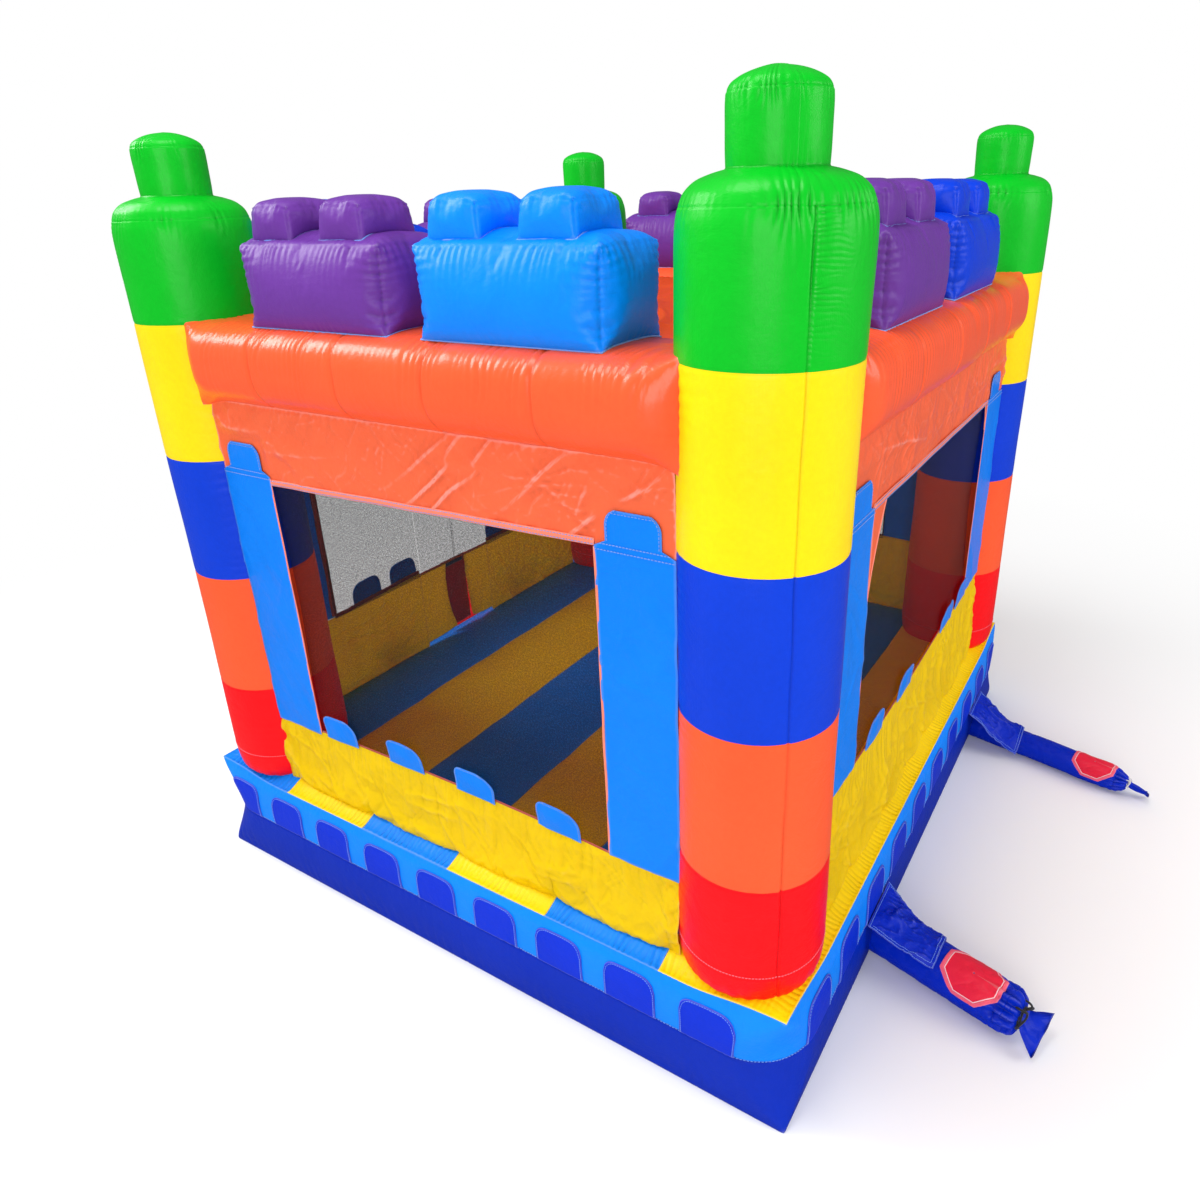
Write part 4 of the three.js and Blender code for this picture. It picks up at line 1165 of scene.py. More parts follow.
def hung_cloth(along, up, out, side, slack, seed, gravity, lean, fold=0.004):
    """A wrinkled sheet between its sewn edges. along and up are grids; out gives
    its starting depth; `lean` slants the folds that the slack fabric falls into."""
    share = (up - up.min()) / np.ptp(up)
    middle = np.sin(np.pi * share)
    seeds = ridges(along * 4.2 + lean * up * 4, up * 3.2 - lean * along * 0.9, seed)
    start = out + fold * middle * (seeds - 0.5)
    rows, columns = along.shape
    pinned = np.zeros((rows, columns), bool)
    pinned[[0, -1]] = True
    pinned[:, [0, -1]] = True
    result = inflate_or_drape(
        to_world(side, along, start, up).reshape(-1, 3), [grid_quads(rows, columns)], pinned.ravel(), 26,
        gravity=gravity, slack=slack, tension=25, bending=0.02, quality=5, damping=5, air=1.5,
    )
    return result.reshape(rows, columns, 3)


def finer(grid):
    """Twice as many rows and columns, on smooth curves through the old points."""
    for axis in (0, 1):
        g = np.moveaxis(grid, axis, 0)
        padded = np.concatenate([2 * g[:1] - g[1:2], g, 2 * g[-1:] - g[-2:-1]])
        middle = (9 * (padded[1:-2] + padded[2:-1]) - padded[:-3] - padded[3:]) / 16
        result = np.empty((2 * len(g) - 1, *g.shape[1:]))
        result[::2], result[1::2] = g, middle
        grid = np.moveaxis(result, 0, axis)
    return grid


def pull_flat(cloth, side, mask, out):
    """Brings part of a sheet to a depth from the columns' axes."""
    normal = outward(side)
    depth = cloth @ normal - REACH[side]
    return cloth + ((out - depth) * mask)[..., None] * normal


def hem_height(side, along):
    """The header's lower edge, which hangs lower at its left end."""
    half = WINDOW_HALF[side]
    return WINDOW_TOP - 0.030 * np.clip(0.5 - 0.5 * along / half, 0, 1.2) * (side == "front")


def sill_height(side, along):
    """The low wall's top edge, pulled up a little between its ends."""
    half = WINDOW_HALF[side]
    rise = -0.020 if side == "right" else 0.022
    return SILL[side] + rise * np.cos(0.5 * np.pi * np.clip((along + 0.12 * half) / (1.12 * half), -1, 1)) ** 0.7


def build_skirts():
    """The slack yellow low walls, gathered at the floor seams."""
    for number, side in enumerate(SIDES):
        edge = WALL_EDGE[side] + 0.008
        sill = SILL[side]
        spans = [(-edge, edge)]
        if side == "left":
            spans = [(DOOR_HALF + 0.001, edge), (-edge, -DOOR_HALF - 0.001)]
        for part, (left, right) in enumerate(spans):
            columns = int((right - left) / 0.0115)
            rows = int((sill - FLOOR) / 0.0115) + 1
            along, up = np.meshgrid(np.linspace(left, right, columns), np.linspace(FLOOR + 0.004, sill - 0.002, rows))
            phase = along / STRIPE_PITCH if side in ("front", "back") else (along - left) / 0.36
            scallop = np.abs(np.sin(np.pi * phase)) ** 0.7
            share = (up - up.min()) / np.ptp(up)
            out = WALL_OFFSET + (1 - share) ** 2 * (0.016 * scallop + 0.002) + 0.014 * np.sin(np.pi * share)
            seed = 300 + 4 * number + part
            up = up + (sill_height(side, along) - SILL[side]) * share ** 1.5
            cloth = hung_cloth(along, up, out, side, 0.022, seed, 0.5, 1.1, 0.010)
            cloth, along, up, share = finer(cloth), finer(along), finer(up), finer(share)
            held = np.sin(np.pi * np.clip(share, 0, 1)) ** 0.6
            folds = creases(along, up, seed + 70, ((34, 0.34, 0.075), (-24, 0.38, 0.085), (8, 0.30, 0.06)))
            folds = folds + 0.35 * creases(along, up, seed + 90, ((50, 0.12, 0.035), (-40, 0.12, 0.04)))
            cloth = cloth + (0.010 * held * (folds - 0.35))[..., None] * outward(side)
            depth = cloth @ outward(side) - REACH[side]
            cloth = pull_flat(cloth, side, depth < WALL_OFFSET - 0.02, WALL_OFFSET - 0.02)
            cloth = pull_flat(cloth, side, depth > WALL_OFFSET + 0.06, WALL_OFFSET + 0.06)
            if side == "left":
                at_hinge = 1 - smooth(0.0, 0.10, np.abs(along) - DOOR_HALF)
                depth = cloth @ outward(side) - REACH[side]
                cloth = cloth + (at_hinge * (WALL_OFFSET - depth))[..., None] * outward(side)
            drop = floor_fall(cloth[..., 0], cloth[..., 1])
            ground = floor_height(cloth[..., 0], cloth[..., 1]) - drop + 0.0015
            cloth[..., 2] -= drop * (1 - share) ** 2
            cloth[..., 2] = np.where(share < 0.5, np.maximum(cloth[..., 2], ground), cloth[..., 2])
            suffix = "" if side != "left" else ("_front", "_back")[part]
            obj = add_sheet(f"low_wall_skirt_{side}{suffix}", cloth, SKIRT_YELLOW, 0.002)
            finish_piece(obj, "house", "yellow_vinyl", f"low_wall_{side}{suffix}")


def build_headers():
    for number, side in enumerate(SIDES):
        edge = WALL_EDGE[side] + 0.008
        top = HEADER_HIGH.z + 0.012
        columns = int(2 * edge / 0.0115)
        rows = int((top - WINDOW_TOP) / 0.0110) + 1
        along, up = np.meshgrid(np.linspace(-edge, edge, columns), np.linspace(WINDOW_TOP, top, rows))
        share = (up - up.min()) / np.ptp(up)
        out = WALL_OFFSET + 0.004 * np.sin(np.pi * share)
        seed = 330 + 3 * number
        up = up + (hem_height(side, along) - WINDOW_TOP) * (1 - share) ** 1.5
        cloth = hung_cloth(along, up, out, side, 0.003, seed, 0.0, 1.6, 0.002)
        cloth, along, up, share = finer(cloth), finer(along), finer(up), finer(share)
        held = np.sin(np.pi * np.clip(share, 0, 1)) ** 0.5
        pulled = smooth(-0.45, 0.25, along / WINDOW_HALF[side])  # folds rise towards the right-hand column
        folds = pulled * creases(along, up, seed + 70, ((32, 0.60, 0.10), (38, 0.34, 0.06)))
        folds = folds + (1 - 0.8 * pulled) * creases(along, up, seed + 80, ((-3, 0.70, 0.11), (-24, 0.30, 0.10)))
        folds = folds + 0.22 * creases(along, up, seed + 90, ((60, 0.14, 0.04), (12, 0.16, 0.035)))
        cloth = cloth + (0.014 * held * (folds - 0.3))[..., None] * outward(side)
        half, centre = WINDOW_HALF[side], (WINDOW_HALF[side] + WALL_EDGE[side]) / 2
        tab = smooth(TAB_WIDTH / 2 + 0.06, TAB_WIDTH / 2 + 0.01, np.abs(np.abs(along) - centre))
        tab = tab * smooth(TAB_TOP + 0.06, TAB_TOP + 0.01, up)
        cloth = pull_flat(cloth, side, tab, WALL_OFFSET)
        obj = add_sheet(f"header_sheet_{side}", cloth, HEADER_ORANGE, 0.002)
        finish_piece(obj, "house", "orange_vinyl", f"header_{side}")


STRIP_EDGE = dict(WINDOW_HALF, right=WINDOW_HALF["right"] + 0.045, left=WINDOW_HALF["left"] + 0.085)


GUSSETS = {-1: (0.135, 0.34), 1: (0.040, 0.14)}  # width and depth at each end of the right-hand window


def build_gussets():
    """Orange corner pieces that run from the right-hand header down its strips."""
    bundle = Bundle()
    for sign, (width, depth) in GUSSETS.items():
        share = np.linspace(0, 1, 60)[:, None]
        across = np.linspace(0, 1, 24)[None, :]
        reach = width * (1 - share) ** 1.4 + 0.004
        edge = STRIP_EDGE["right"] + 0.008
        along = sign * (edge - across * (reach + 0.008))
        up = WINDOW_TOP + 0.012 - share * depth
        out = WALL_OFFSET + 0.004 + 0.004 * np.sin(np.pi * across) * noise(along * 20, up * 9, seed=345)
        grid = to_world("right", along, out, up + 0 * along)
        obj = add_sheet("header_gusset_" + ("near" if sign < 0 else "far"), grid, HEADER_ORANGE, 0.002)
        finish_piece(obj, "house", "orange_vinyl")
        bundle.add(*cord_parts(grid[2:, -1] + 0.002 * outward("right"), 0.006,
                               np.tile(outward("right"), (58, 1)), sides=8, flat=0.35))
    finish_piece(bundle.build("gusset_bindings", TRIM), "house", "orange_vinyl")


def strip_grid(side, sign, rows=130, columns=26):
    """A light-blue strip beside a window: full width below, a rounded tab above."""
    inner, outer = STRIP_EDGE[side], WALL_EDGE[side] + 0.010
    centre = (WINDOW_HALF[side] + WALL_EDGE[side]) / 2 + 0.002
    corner = 0.055
    share = np.linspace(0, 1, rows)[:, None]
    up = SILL[side] - 0.004 + share * (TAB_TOP - SILL[side])
    above = smooth(WINDOW_TOP + 0.006, WINDOW_TOP + 0.018, up)
    near_top = np.clip(up - (TAB_TOP - corner), 0, corner)
    cut = corner - np.sqrt(np.maximum(corner ** 2 - near_top ** 2, 0))
    left = inner + above * (centre - TAB_WIDTH / 2 + cut - inner)
    right = outer + above * (centre + TAB_WIDTH / 2 - cut - outer)
    across = np.linspace(0, 1, columns)[None, :]
    along = left + across * (right - left)
    return sign * along, np.broadcast_to(up, along.shape)


def build_strips():
    for number, side in enumerate(SIDES):
        for index, sign in enumerate((-1, 1)):
            along, up = strip_grid(side, sign)
            seed = 360 + 2 * number + index
            free = smooth(WINDOW_TOP + 0.02, WINDOW_TOP - 0.15, up)
            folds = creases(along, up, seed, ((62, 0.35, 0.07), (-50, 0.25, 0.06)))
            out = WALL_OFFSET + 0.0075 + 0.004 * free * (folds - 0.3)
            out = out + 0.0015 * free * noise(along * 24 + up * 12, up * 5, seed=seed + 50)
            grid = to_world(side, along, out, up)
            obj = add_sheet(f"wall_strip_cloth_{side}_{index + 1}", grid, STRIP_BLUE, 0.002)
            finish_piece(obj, "house", "light_blue_vinyl", f"wall_strip_{side}_{index + 1}")
            normal = outward(side)
            lift = normal * 0.0022
            tab = up[:, 0] > WINDOW_TOP + 0.02
            for column in (1, -2):
                path = grid[tab][:, column] + lift
                add_stitches(threads["house"], path, np.tile(normal, (len(path), 1)), dash=0.008, pitch=0.012)
            top = grid[-2, 1:-1] + lift
            add_stitches(threads["house"], top, np.tile(normal, (len(top), 1)), dash=0.008, pitch=0.012)
            row = int(np.argmin(np.abs(up[:, 0] - (WINDOW_TOP + 0.012))))
            for r in (row, row - 2):
                path = grid[r] + lift
                add_stitches(threads["house"], path, np.tile(normal, (len(path), 1)), dash=0.009, pitch=0.012,
                             width=0.003)


def build_nets():
    for side in SIDES:
        half, low, high = WINDOW_HALF[side] + 0.01, SILL[side] - 0.01, WINDOW_TOP + 0.012
        half = half + STRIP_EDGE[side] - WINDOW_HALF[side]
        spans = {"": (-half, half)}
        if side == "left":
            spans = {"_front": (DOOR_HALF - 0.001, half), "_back": (-half, -DOOR_HALF + 0.001)}
        for suffix, (left, right) in spans.items():
            along, up = np.meshgrid(np.linspace(left, right, 60), np.linspace(low, high, 50))
            sag = 0.010 * np.sin(np.pi * (up - low) / (high - low)) * (1 + noise(along * 3, up * 2, seed=390))
            if side == "left":
                sag = sag * smooth(DOOR_HALF, DOOR_HALF + 0.15, np.abs(along))
            grid = to_world(side, along, WALL_OFFSET - 0.006 - sag, up)
            obj = add_sheet(f"net_{side}{suffix}", grid, NET_MATERIAL, NET, np.stack([along, up], -1))
            finish_piece(obj, "house", "window_net", f"window_mesh_{side}{suffix}")


def build_window_trim():
    """Thin bindings round each window and a hem under each header."""
    bundle, inner_bundle = Bundle(), Bundle()
    for side in SIDES:
        half, sill = WINDOW_HALF[side], SILL[side]
        normal = outward(side)
        rows = np.linspace(sill + 0.004, WINDOW_TOP - 0.004, 60)
        for sign in (-1, 1):
            wobble = 0.002 * noise(rows * 7, sign, seed=400)
            path = to_world(side, np.full(60, sign * STRIP_EDGE[side]) + wobble, np.full(60, WALL_OFFSET + 0.007), rows)
            # the left window's side bindings, seen from inside, take the darker rust colour as painted shade
            target, radius = (inner_bundle, 0.018) if side == "left" else (bundle, 0.005)
            target.add(*cord_parts(path, radius, np.tile(normal, (60, 1)), sides=8, flat=0.3))
        half = STRIP_EDGE[side]
        gaps = [(-half, half)]
        if side == "left":
            gaps = [(-half, -DOOR_HALF - 0.004), (DOOR_HALF + 0.004, half)]
        for left, right in gaps:
            along = np.linspace(left, right, 120)
            level = sill_height(side, along) + 0.001 + 0.003 * noise(along * 5, seed=401)
            path = to_world(side, along, np.full(120, WALL_OFFSET + 0.003), level)
            # every sill binding is rust-coloured; on the left side, seen from inside, this darker colour is painted
            # shade
            radius = 0.012 if side == "left" else 0.005
            inner_bundle.add(*cord_parts(path, radius, np.tile(normal, (120, 1)), sides=8, flat=0.5))
        along = np.linspace(-half, half, 160)
        path = to_world(side, along, np.full(160, WALL_OFFSET + 0.005),
                        hem_height(side, along) + 0.010 + 0.002 * noise(along * 6, seed=402))
        bundle.add(*cord_parts(path, 0.013, np.tile(normal, (160, 1)), sides=8, flat=0.25))
        for offset in (0.003, 0.018):
            add_stitches(threads["house"], path + normal * 0.0036 + [0, 0, offset - 0.010],
                         np.tile(normal, (160, 1)), dash=0.008, pitch=0.012)
    finish_piece(bundle.build("window_bindings", TRIM), "house", "orange_vinyl")
    finish_piece(inner_bundle.build("sill_bindings", RUST), "house", "red_vinyl")


SILL_STUDS = {
    "front": (-0.630, -0.239, 0.141, 0.550),
    "right": (-0.640, -0.220, 0.500, 0.790),
    "back": (-0.560, -0.200, 0.200, 0.560),
    "left": (-0.684, -0.412, 0.412, 0.684),
}


def build_sill_studs():
    """Small light-blue tabs that stand on the window sills, like a brick's studs."""
    bundle = Bundle()
    for side, places in SILL_STUDS.items():
        for number, centre in enumerate(places):
            width, height = 0.200, 0.122
            u = np.linspace(-1, 1, 30)[None, :]
            v = np.linspace(0, 1, 22)[:, None]
            up = v * height - 0.012
            corner = 0.054 + 0.012 * u  # the right-hand corner is the rounder one
            past = np.clip(up - (height - 0.012 - corner), 0, corner)
            cut = corner - np.sqrt(np.maximum(corner ** 2 - past ** 2, 0))
            along = centre + u * (width / 2 - cut)
            lean = 0.012 * v ** 2 + 0.003 * noise(along * 20, up * 20, seed=410 + number)
            pillow = 0.006 * (1 - u ** 2) * np.sin(np.pi * v)
            grid = to_world(side, along, WALL_OFFSET + 0.009 + lean + pillow, sill_height(side, along) + up)
            points, faces = sheet_parts(grid, 0.003)
            bundle.add(points, [faces])
            edge = np.concatenate([grid[:, 1], grid[-2, 2:-2], grid[::-1, -2]]) + outward(side) * 0.002
            add_stitches(threads["house"], edge, np.tile(outward(side), (len(edge), 1)), dash=0.006, pitch=0.009,
                         width=0.0016)
    finish_piece(bundle.build("sill_studs", STRIP_BLUE), "house", "light_blue_vinyl")


# ------------------------------------------------------------------------ roof


def build_roof():
    half_x, half_y = COLUMN_X - 0.235, COLUMN_Y - 0.235
    x, y = np.meshgrid(np.linspace(-half_x, half_x, 190), np.linspace(-half_y, half_y, 220))
    edge = np.minimum(half_x - np.abs(x), half_y - np.abs(y))
    inner = smooth(0, 0.35, edge)
    z = ROOF - 0.030 * inner
    z = z + 0.014 * inner * noise(x * 2.2, y * 2.6, seed=500)
    z = z + 0.022 * smooth(0, 0.15, edge) * ridges(x * 2.4 + 0.9 * y, y * 1.7 - 0.5 * x, 501)
    z = z - 0.010 * puckers(y, half_x - np.abs(x), 0.050, 0.120, 503)
    z = z - 0.010 * puckers(x, half_y - np.abs(y), 0.050, 0.120, 504)
    z = z - 0.005 * groove(x - 0.02, 0.006)
    obj = add_sheet("roof_cloth", np.stack([x, y, z], -1), ROOF_ORANGE, 0.003)
    finish_piece(obj, "house", "orange_vinyl", "roof_sheet")


# -------------------------------------------------------------------- entrance


def build_door():
    """Two flaps, each of a yellow panel under a net, hung from the fixed wall, and a
    maroon storm flap sewn to one of them that covers the slit from outside."""
    bodies = {"front": (1, "door_front"), "back": (-1, "door_back")}
    normal = outward("left")
    for part, (sign, body) in bodies.items():
        hinge = DOOR_HALF - 0.001
        low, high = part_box(f"door_panel_{part}")
        slit = min(abs(low.y), abs(high.y))
        v = np.linspace(0, 1, 56)[:, None]
        u = np.linspace(0, 1, 40)[None, :]
        curl = (1 - v) ** 2.5 * u ** 3
        up = low.z + v * (high.z - low.z) + 0.040 * curl
        along = sign * (hinge - u * (hinge - slit - 0.008 * np.sin(np.pi * v)))
        out = WALL_OFFSET - 0.045 * curl * (1 if part == "front" else 0.6)
        out = out + 0.008 * (ridges(along * 7 + up * 5, up * 4, 520) - 0.4) * smooth(0, 0.3, u)
        out = out + 0.010 * np.sin(np.pi * v) * u
        grid = to_world("left", along + 0 * up, out, up + 0 * along)
        obj = add_sheet(f"door_flap_panel_{part}", grid, SKIRT_YELLOW, 0.002)
        finish_piece(obj, body, "yellow_vinyl", f"door_panel_{part}")
        low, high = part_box(f"door_mesh_{part}")
        reach = -0.001 if part == "front" else 0.001
        along, up = np.meshgrid(np.linspace(sign * hinge, sign * reach, 30), np.linspace(low.z - 0.004, high.z, 50))
        wave = 0.005 * noise(along * 5, up * 2.5, seed=521) * smooth(0, 0.1, hinge - np.abs(along))
        offset = -0.006 - (0.003 if part == "front" else 0.0)
        grid = to_world("left", along, WALL_OFFSET + offset + wave, up)
        obj = add_sheet(f"door_flap_net_{part}", grid, NET_MATERIAL, NET, np.stack([along, up], -1))
        finish_piece(obj, body, "window_net", f"door_mesh_{part}")
        bundle = Bundle()
        along = np.linspace(sign * hinge, sign * 0.002, 30)
        path = to_world("left", along, np.full(30, WALL_OFFSET + 0.002), np.full(30, SILL["left"] + 0.001))
        bundle.add(*cord_parts(path, 0.008, np.tile(normal, (30, 1)), flat=0.35))
        finish_piece(bundle.build(f"door_flap_binding_{part}", TRIM), body, "orange_vinyl")
        rows = np.linspace(low.z, high.z, 50)
        path = to_world("left", np.full(50, sign * 0.002), np.full(50, WALL_OFFSET + 0.001), rows)
        edge = Bundle()
        edge.add(*cord_parts(path, 0.0008, np.tile(normal, (50, 1))))
        finish_piece(edge.build(f"door_flap_net_edge_{part}", NET_EDGE), body, "window_net")
    seams = Bundle()
    rows = np.linspace(FLOOR + 0.006, SILL["left"], 60)
    for sign in (-1, 1):
        path = to_world("left", np.full(60, sign * DOOR_HALF), np.full(60, WALL_OFFSET), rows)
        seams.add(*cord_parts(path, 0.0045, np.tile(normal, (60, 1))))
    finish_piece(seams.build("door_hinge_seams", SKIRT_YELLOW), "house", "yellow_vinyl")
    slit = min(abs(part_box("door_panel_front")[0].y), abs(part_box("door_panel_front")[1].y)) + 0.022
    foot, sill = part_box("door_panel_front")[0].z, SILL["left"]
    along, up = np.meshgrid(np.linspace(-slit, slit, 40), np.linspace(foot + 0.012, sill + 0.004, 60))
    out = WALL_OFFSET + 0.020 + 0.010 * (ridges(along * 6, up * 3, 530) - 0.4)
    grid = to_world("left", along, out, up)
    obj = add_sheet("door_storm_flap", grid, MAROON, 0.002)
    finish_piece(obj, "door_front", "red_vinyl")
    along, up = np.meshgrid(np.linspace(-slit + 0.03, slit - 0.03, 30), np.linspace(sill - 0.034, sill + 0.006, 8))
    grid = to_world("left", along, WALL_OFFSET + 0.008 + 0.003 * np.cos(along * 20), up)
    obj = add_sheet("door_closing_strap", grid, NAVY, 0.003)
    finish_piece(obj, "door_front", "dark_cord")


def build_ramp():
    for node in ("ramp", "ramp_rail_front", "ramp_rail_back"):
        source = frame["nodes"][node]
        obj = source.copy()
        obj.data = source.data.copy()
        obj.parent = None
        obj.name = f"{node}_cushion"
        for key in list(obj.keys()):
            if key.startswith("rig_"):
                del obj[key]
        bpy.context.scene.collection.objects.link(obj)
        obj.data.materials.clear()
        obj.data.materials.append(RED)
        remesh = obj.modifiers.new("remesh", "REMESH")
        remesh.mode = "VOXEL"
        remesh.voxel_size = 0.016
        soft = obj.modifiers.new("soft", "SMOOTH")
        soft.iterations = 8
        evaluated = obj.evaluated_get(bpy.context.evaluated_depsgraph_get())
        mesh = bpy.data.meshes.new_from_object(evaluated)
        obj.modifiers.clear()
        obj.data = mesh
        points = np.empty(len(mesh.vertices) * 3, np.float32)
        mesh.vertices.foreach_get("co", points)
        points = points.reshape(-1, 3).astype(float)
        crown = 0.004 * noise(points[:, 0] * 9, points[:, 1] * 9, points[:, 2] * 9, seed=540)
        points[:, 2] = np.maximum(points[:, 2] + crown, 0.002)
        mesh.vertices.foreach_set("co", points.astype(np.float32).ravel())
        mesh.polygons.foreach_set("use_smooth", np.ones(len(mesh.polygons), bool))
        mesh.update()
        finish_piece(obj, "house", "red_vinyl", node)


# ------------------------------------------------------------- inflation tubes


def tube_axes(name):
    joint = next(j for j in frame["joints"] if j["name"] == f"tube_{name}_swing")
    root = np.array(joint["pos_m"])
    low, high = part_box(f"tube_tie_{name}")
    tie = np.array([(low.x + high.x) / 2, (low.y + high.y) / 2, root[2]])
    ahead = (tie - root) / np.linalg.norm(tie - root)
    across = np.array([-ahead[1], ahead[0], 0.0])
    return root, tie, ahead, across


TUBE_TAIL = {"near": 0.085, "far": 0.100}  # the gathered fabric past the tie
TUBE_CLOSE = {"near": 0.75, "far": 1.15}  # length of the closing end, in radii
TUBE_NECK = {"near": 0.42, "far": 0.26}


def build_tubes():
    up = np.array([0, 0, 1.0])
    for number, name in enumerate(("near", "far")):
        root, tie, ahead, across = tube_axes(name)
        radius = root[2] - 0.002
        reach = np.linalg.norm(tie - root)
        seed = 600 + 20 * number
        back = (root[0] - TOP_X - GROUND_INSET - 0.004) / ahead[0]  # reaches into the base's side
        tail_length, close = TUBE_TAIL[name], TUBE_CLOSE[name]
        distance = np.concatenate([
            np.linspace(-back, reach - 1.6 * radius, 100)[:-1],
            np.linspace(reach - 1.6 * radius, reach + 0.012, 80)[:-1],
            np.linspace(reach + 0.012, reach + tail_length, 40),
        ])
        count = 160
        angle = 2 * np.pi * np.arange(count)[None, :] / count
        d = distance[:, None]
        to_tie = reach - d
        neck = TUBE_NECK[name] * radius
        share = np.clip(to_tie / (close * radius), 0, 1)
        squareness = 3.2 if name == "near" else 2.1
        body = neck + (radius - neck) * (1 - (1 - share) ** squareness) ** (1 / squareness)
        gathers = smooth(1.6 * radius, 0.1 * radius, to_tie)
        folds = 0.5 + 0.5 * np.cos(angle * 13 + 2.5 * noise(angle * 2, d * 9, seed=seed))
        body = body * (1 - 0.24 * gathers * folds)
        crumple = 0.0022 * noise(d * 9 + 1.2 * np.sin(angle), angle * 1.2, seed=seed + 1)
        crumple = crumple - 0.0030 * ridges(d * 14 + angle, angle * 1.6 - d * 5, seed + 2)
        crumple = crumple - 0.010 * gathers * ridges(d * 22, angle * 1.5 + d * 8, seed + 3)
        body = body + crumple * smooth(-0.1, 0.5, to_tie / radius)
        tail = np.clip(-to_tie / tail_length, 0, 1)
        past_tie = smooth(0.0, 0.25, tail)
        spread = neck + (0.58 * radius if name == "near" else 0.62 * radius) * tail ** 0.9
        thick = 0.55 * neck * (1 - 0.55 * tail)
        pleat = 0.10 * radius * tail * np.cos(5 * angle + 3.0 + 2 * noise(d * 20, seed=seed + 4))
        side = body * np.cos(angle) * (1 - past_tie) + past_tie * spread * np.cos(angle)
        rise = 0.97 * body * np.sin(angle) * (1 - past_tie) + past_tie * (thick * np.sin(angle) + pleat)
        turn = (0.5 if name == "near" else -0.7) * past_tie * tail  # the tail twists over
        side, rise = side * np.cos(turn) - rise * np.sin(turn), side * np.sin(turn) + rise * np.cos(turn)
        rise = rise - 0.03 * radius - past_tie * 0.25 * radius * tail
        point = root + d[..., None] * ahead + side[..., None] * across + rise[..., None] * up
        point[..., 2] = np.maximum(point[..., 2], 0.002)
        rows = len(distance)
        hubs = [point[0].mean(0), point[-1].mean(0)]
        points = np.concatenate([point.reshape(-1, 3), hubs])
        index = np.arange(count)
        following = np.roll(index, -1)
        low = np.stack([np.full(count, rows * count), following, index], -1)
        last = (rows - 1) * count
        high = np.stack([np.full(count, rows * count + 1), index + last, following + last], -1)
        obj = add_mesh(f"inflation_sleeve_{name}", points,
                       [grid_quads(rows, count, wrap=True), np.concatenate([low, high])], TUBE_BLUE)
        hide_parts(f"inflation_tube_{name}")
        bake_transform(obj)
        build_tie(name, tie, ahead, across, neck)
        build_label(name, point, distance, reach, radius)


def build_tie(name, tie, ahead, across, neck):
    """Cord wound round the tube's neck and knotted, with its two ends loose."""
    bundle = Bundle()
    up = np.array([0, 0, 1.0])
    centre = tie - up * 0.004
    radius, knot = (0.0042, 0.9) if name == "near" else (0.0030, 0.45)
    for turn in range(3):
        angle = np.linspace(0, 2 * np.pi, 40, endpoint=False)
        shift = (turn - 1) * 0.007
        wobble = 0.003 * np.sin(2 * angle + turn)
        path = (centre + ahead * shift + (neck * 0.99) * (np.cos(angle)[:, None] * across
                + 0.95 * np.sin(angle)[:, None] * up) + wobble[:, None] * ahead)
        bundle.add(*cord_parts(path, radius, np.tile(ahead, (40, 1)), closed=True))
    for side in (-1, 1):
        t = np.linspace(0, 1, 24)[:, None]
        start = centre + up * neck * 0.92
        path = start + knot * (across * side * (0.060 * t) + ahead * (0.030 * np.sin(3 * t)) + up * (
            0.024 * np.sin(np.pi * t) - 0.055 * t ** 2))
        bundle.add(*cord_parts(path, radius))
        loop = start + knot * (across * side * 0.030 * np.sin(np.pi * t) + up * 0.026 * np.sin(np.pi * t)
                               + ahead * 0.027 * np.sin(2 * np.pi * t))
        bundle.add(*cord_parts(loop, radius))
    obj = bundle.build(f"sleeve_cord_{name}", DARK_CORD if name == "near" else PALE_CORD)
    finish_piece(obj, f"tube_{name}", "dark_cord" if name == "near" else "pale_cord", f"tube_tie_{name}")


def build_label(name, point, distance, reach, radius):
    """A plain red octagon patch with a white border, without lettering."""
    size, to_tie = (0.118, 0.190) if name == "near" else (0.106, 0.168)
    centre_distance = reach - to_tie
    count = point.shape[1]
    middle_angle = math.radians(103)

    def lifted(u, v, lift):
        d = centre_distance + u
        a = middle_angle - v / radius
        row = np.interp(d, distance, np.arange(len(distance)))
        column = (a / (2 * np.pi) * count) % count
        r0 = np.clip(np.floor(row).astype(int), 0, len(distance) - 2)
        c0 = np.floor(column).astype(int) % count
        fr, fc = (row - r0)[..., None], (column - np.floor(column))[..., None]
        c1 = (c0 + 1) % count
        here = ((1 - fr) * (1 - fc) * point[r0, c0] + fr * (1 - fc) * point[r0 + 1, c0]
                + (1 - fr) * fc * point[r0, c1] + fr * fc * point[r0 + 1, c1])
        axis = np.interp(d.ravel(), distance, np.arange(len(distance)))
        hub = point.mean(1)
        low = np.clip(np.floor(axis).astype(int), 0, len(distance) - 2)
        centre = (hub[low] + (axis - low)[:, None] * (hub[low + 1] - hub[low])).reshape(here.shape)
        normal = here - centre
        normal /= np.linalg.norm(normal, axis=-1, keepdims=True)
        return here + normal * lift

    def octagon(inner, outer, lift, label, material):
        turn = np.linspace(0, 2 * np.pi, 97)
        rim = 1 / np.cos((turn + np.pi / 8) % (np.pi / 4) - np.pi / 8)
        share = np.linspace(inner, outer, 26 if outer - inner > 0.5 else 5)[:, None]
        u = size * share * rim * np.cos(turn)
        v = size * share * rim * np.sin(turn)
        obj = add_sheet(label, lifted(u, v, lift), material, 0.0012)
        finish_piece(obj, f"tube_{name}", "red_vinyl")

    octagon(0.02, 0.90, 0.0022, f"label_patch_{name}", LABEL_RED)
    octagon(0.885, 1.0, 0.0026, f"label_edge_{name}", LABEL_PINK)
    octagon(0.835, 0.865, 0.0036, f"label_line_{name}", LABEL_WHITE)


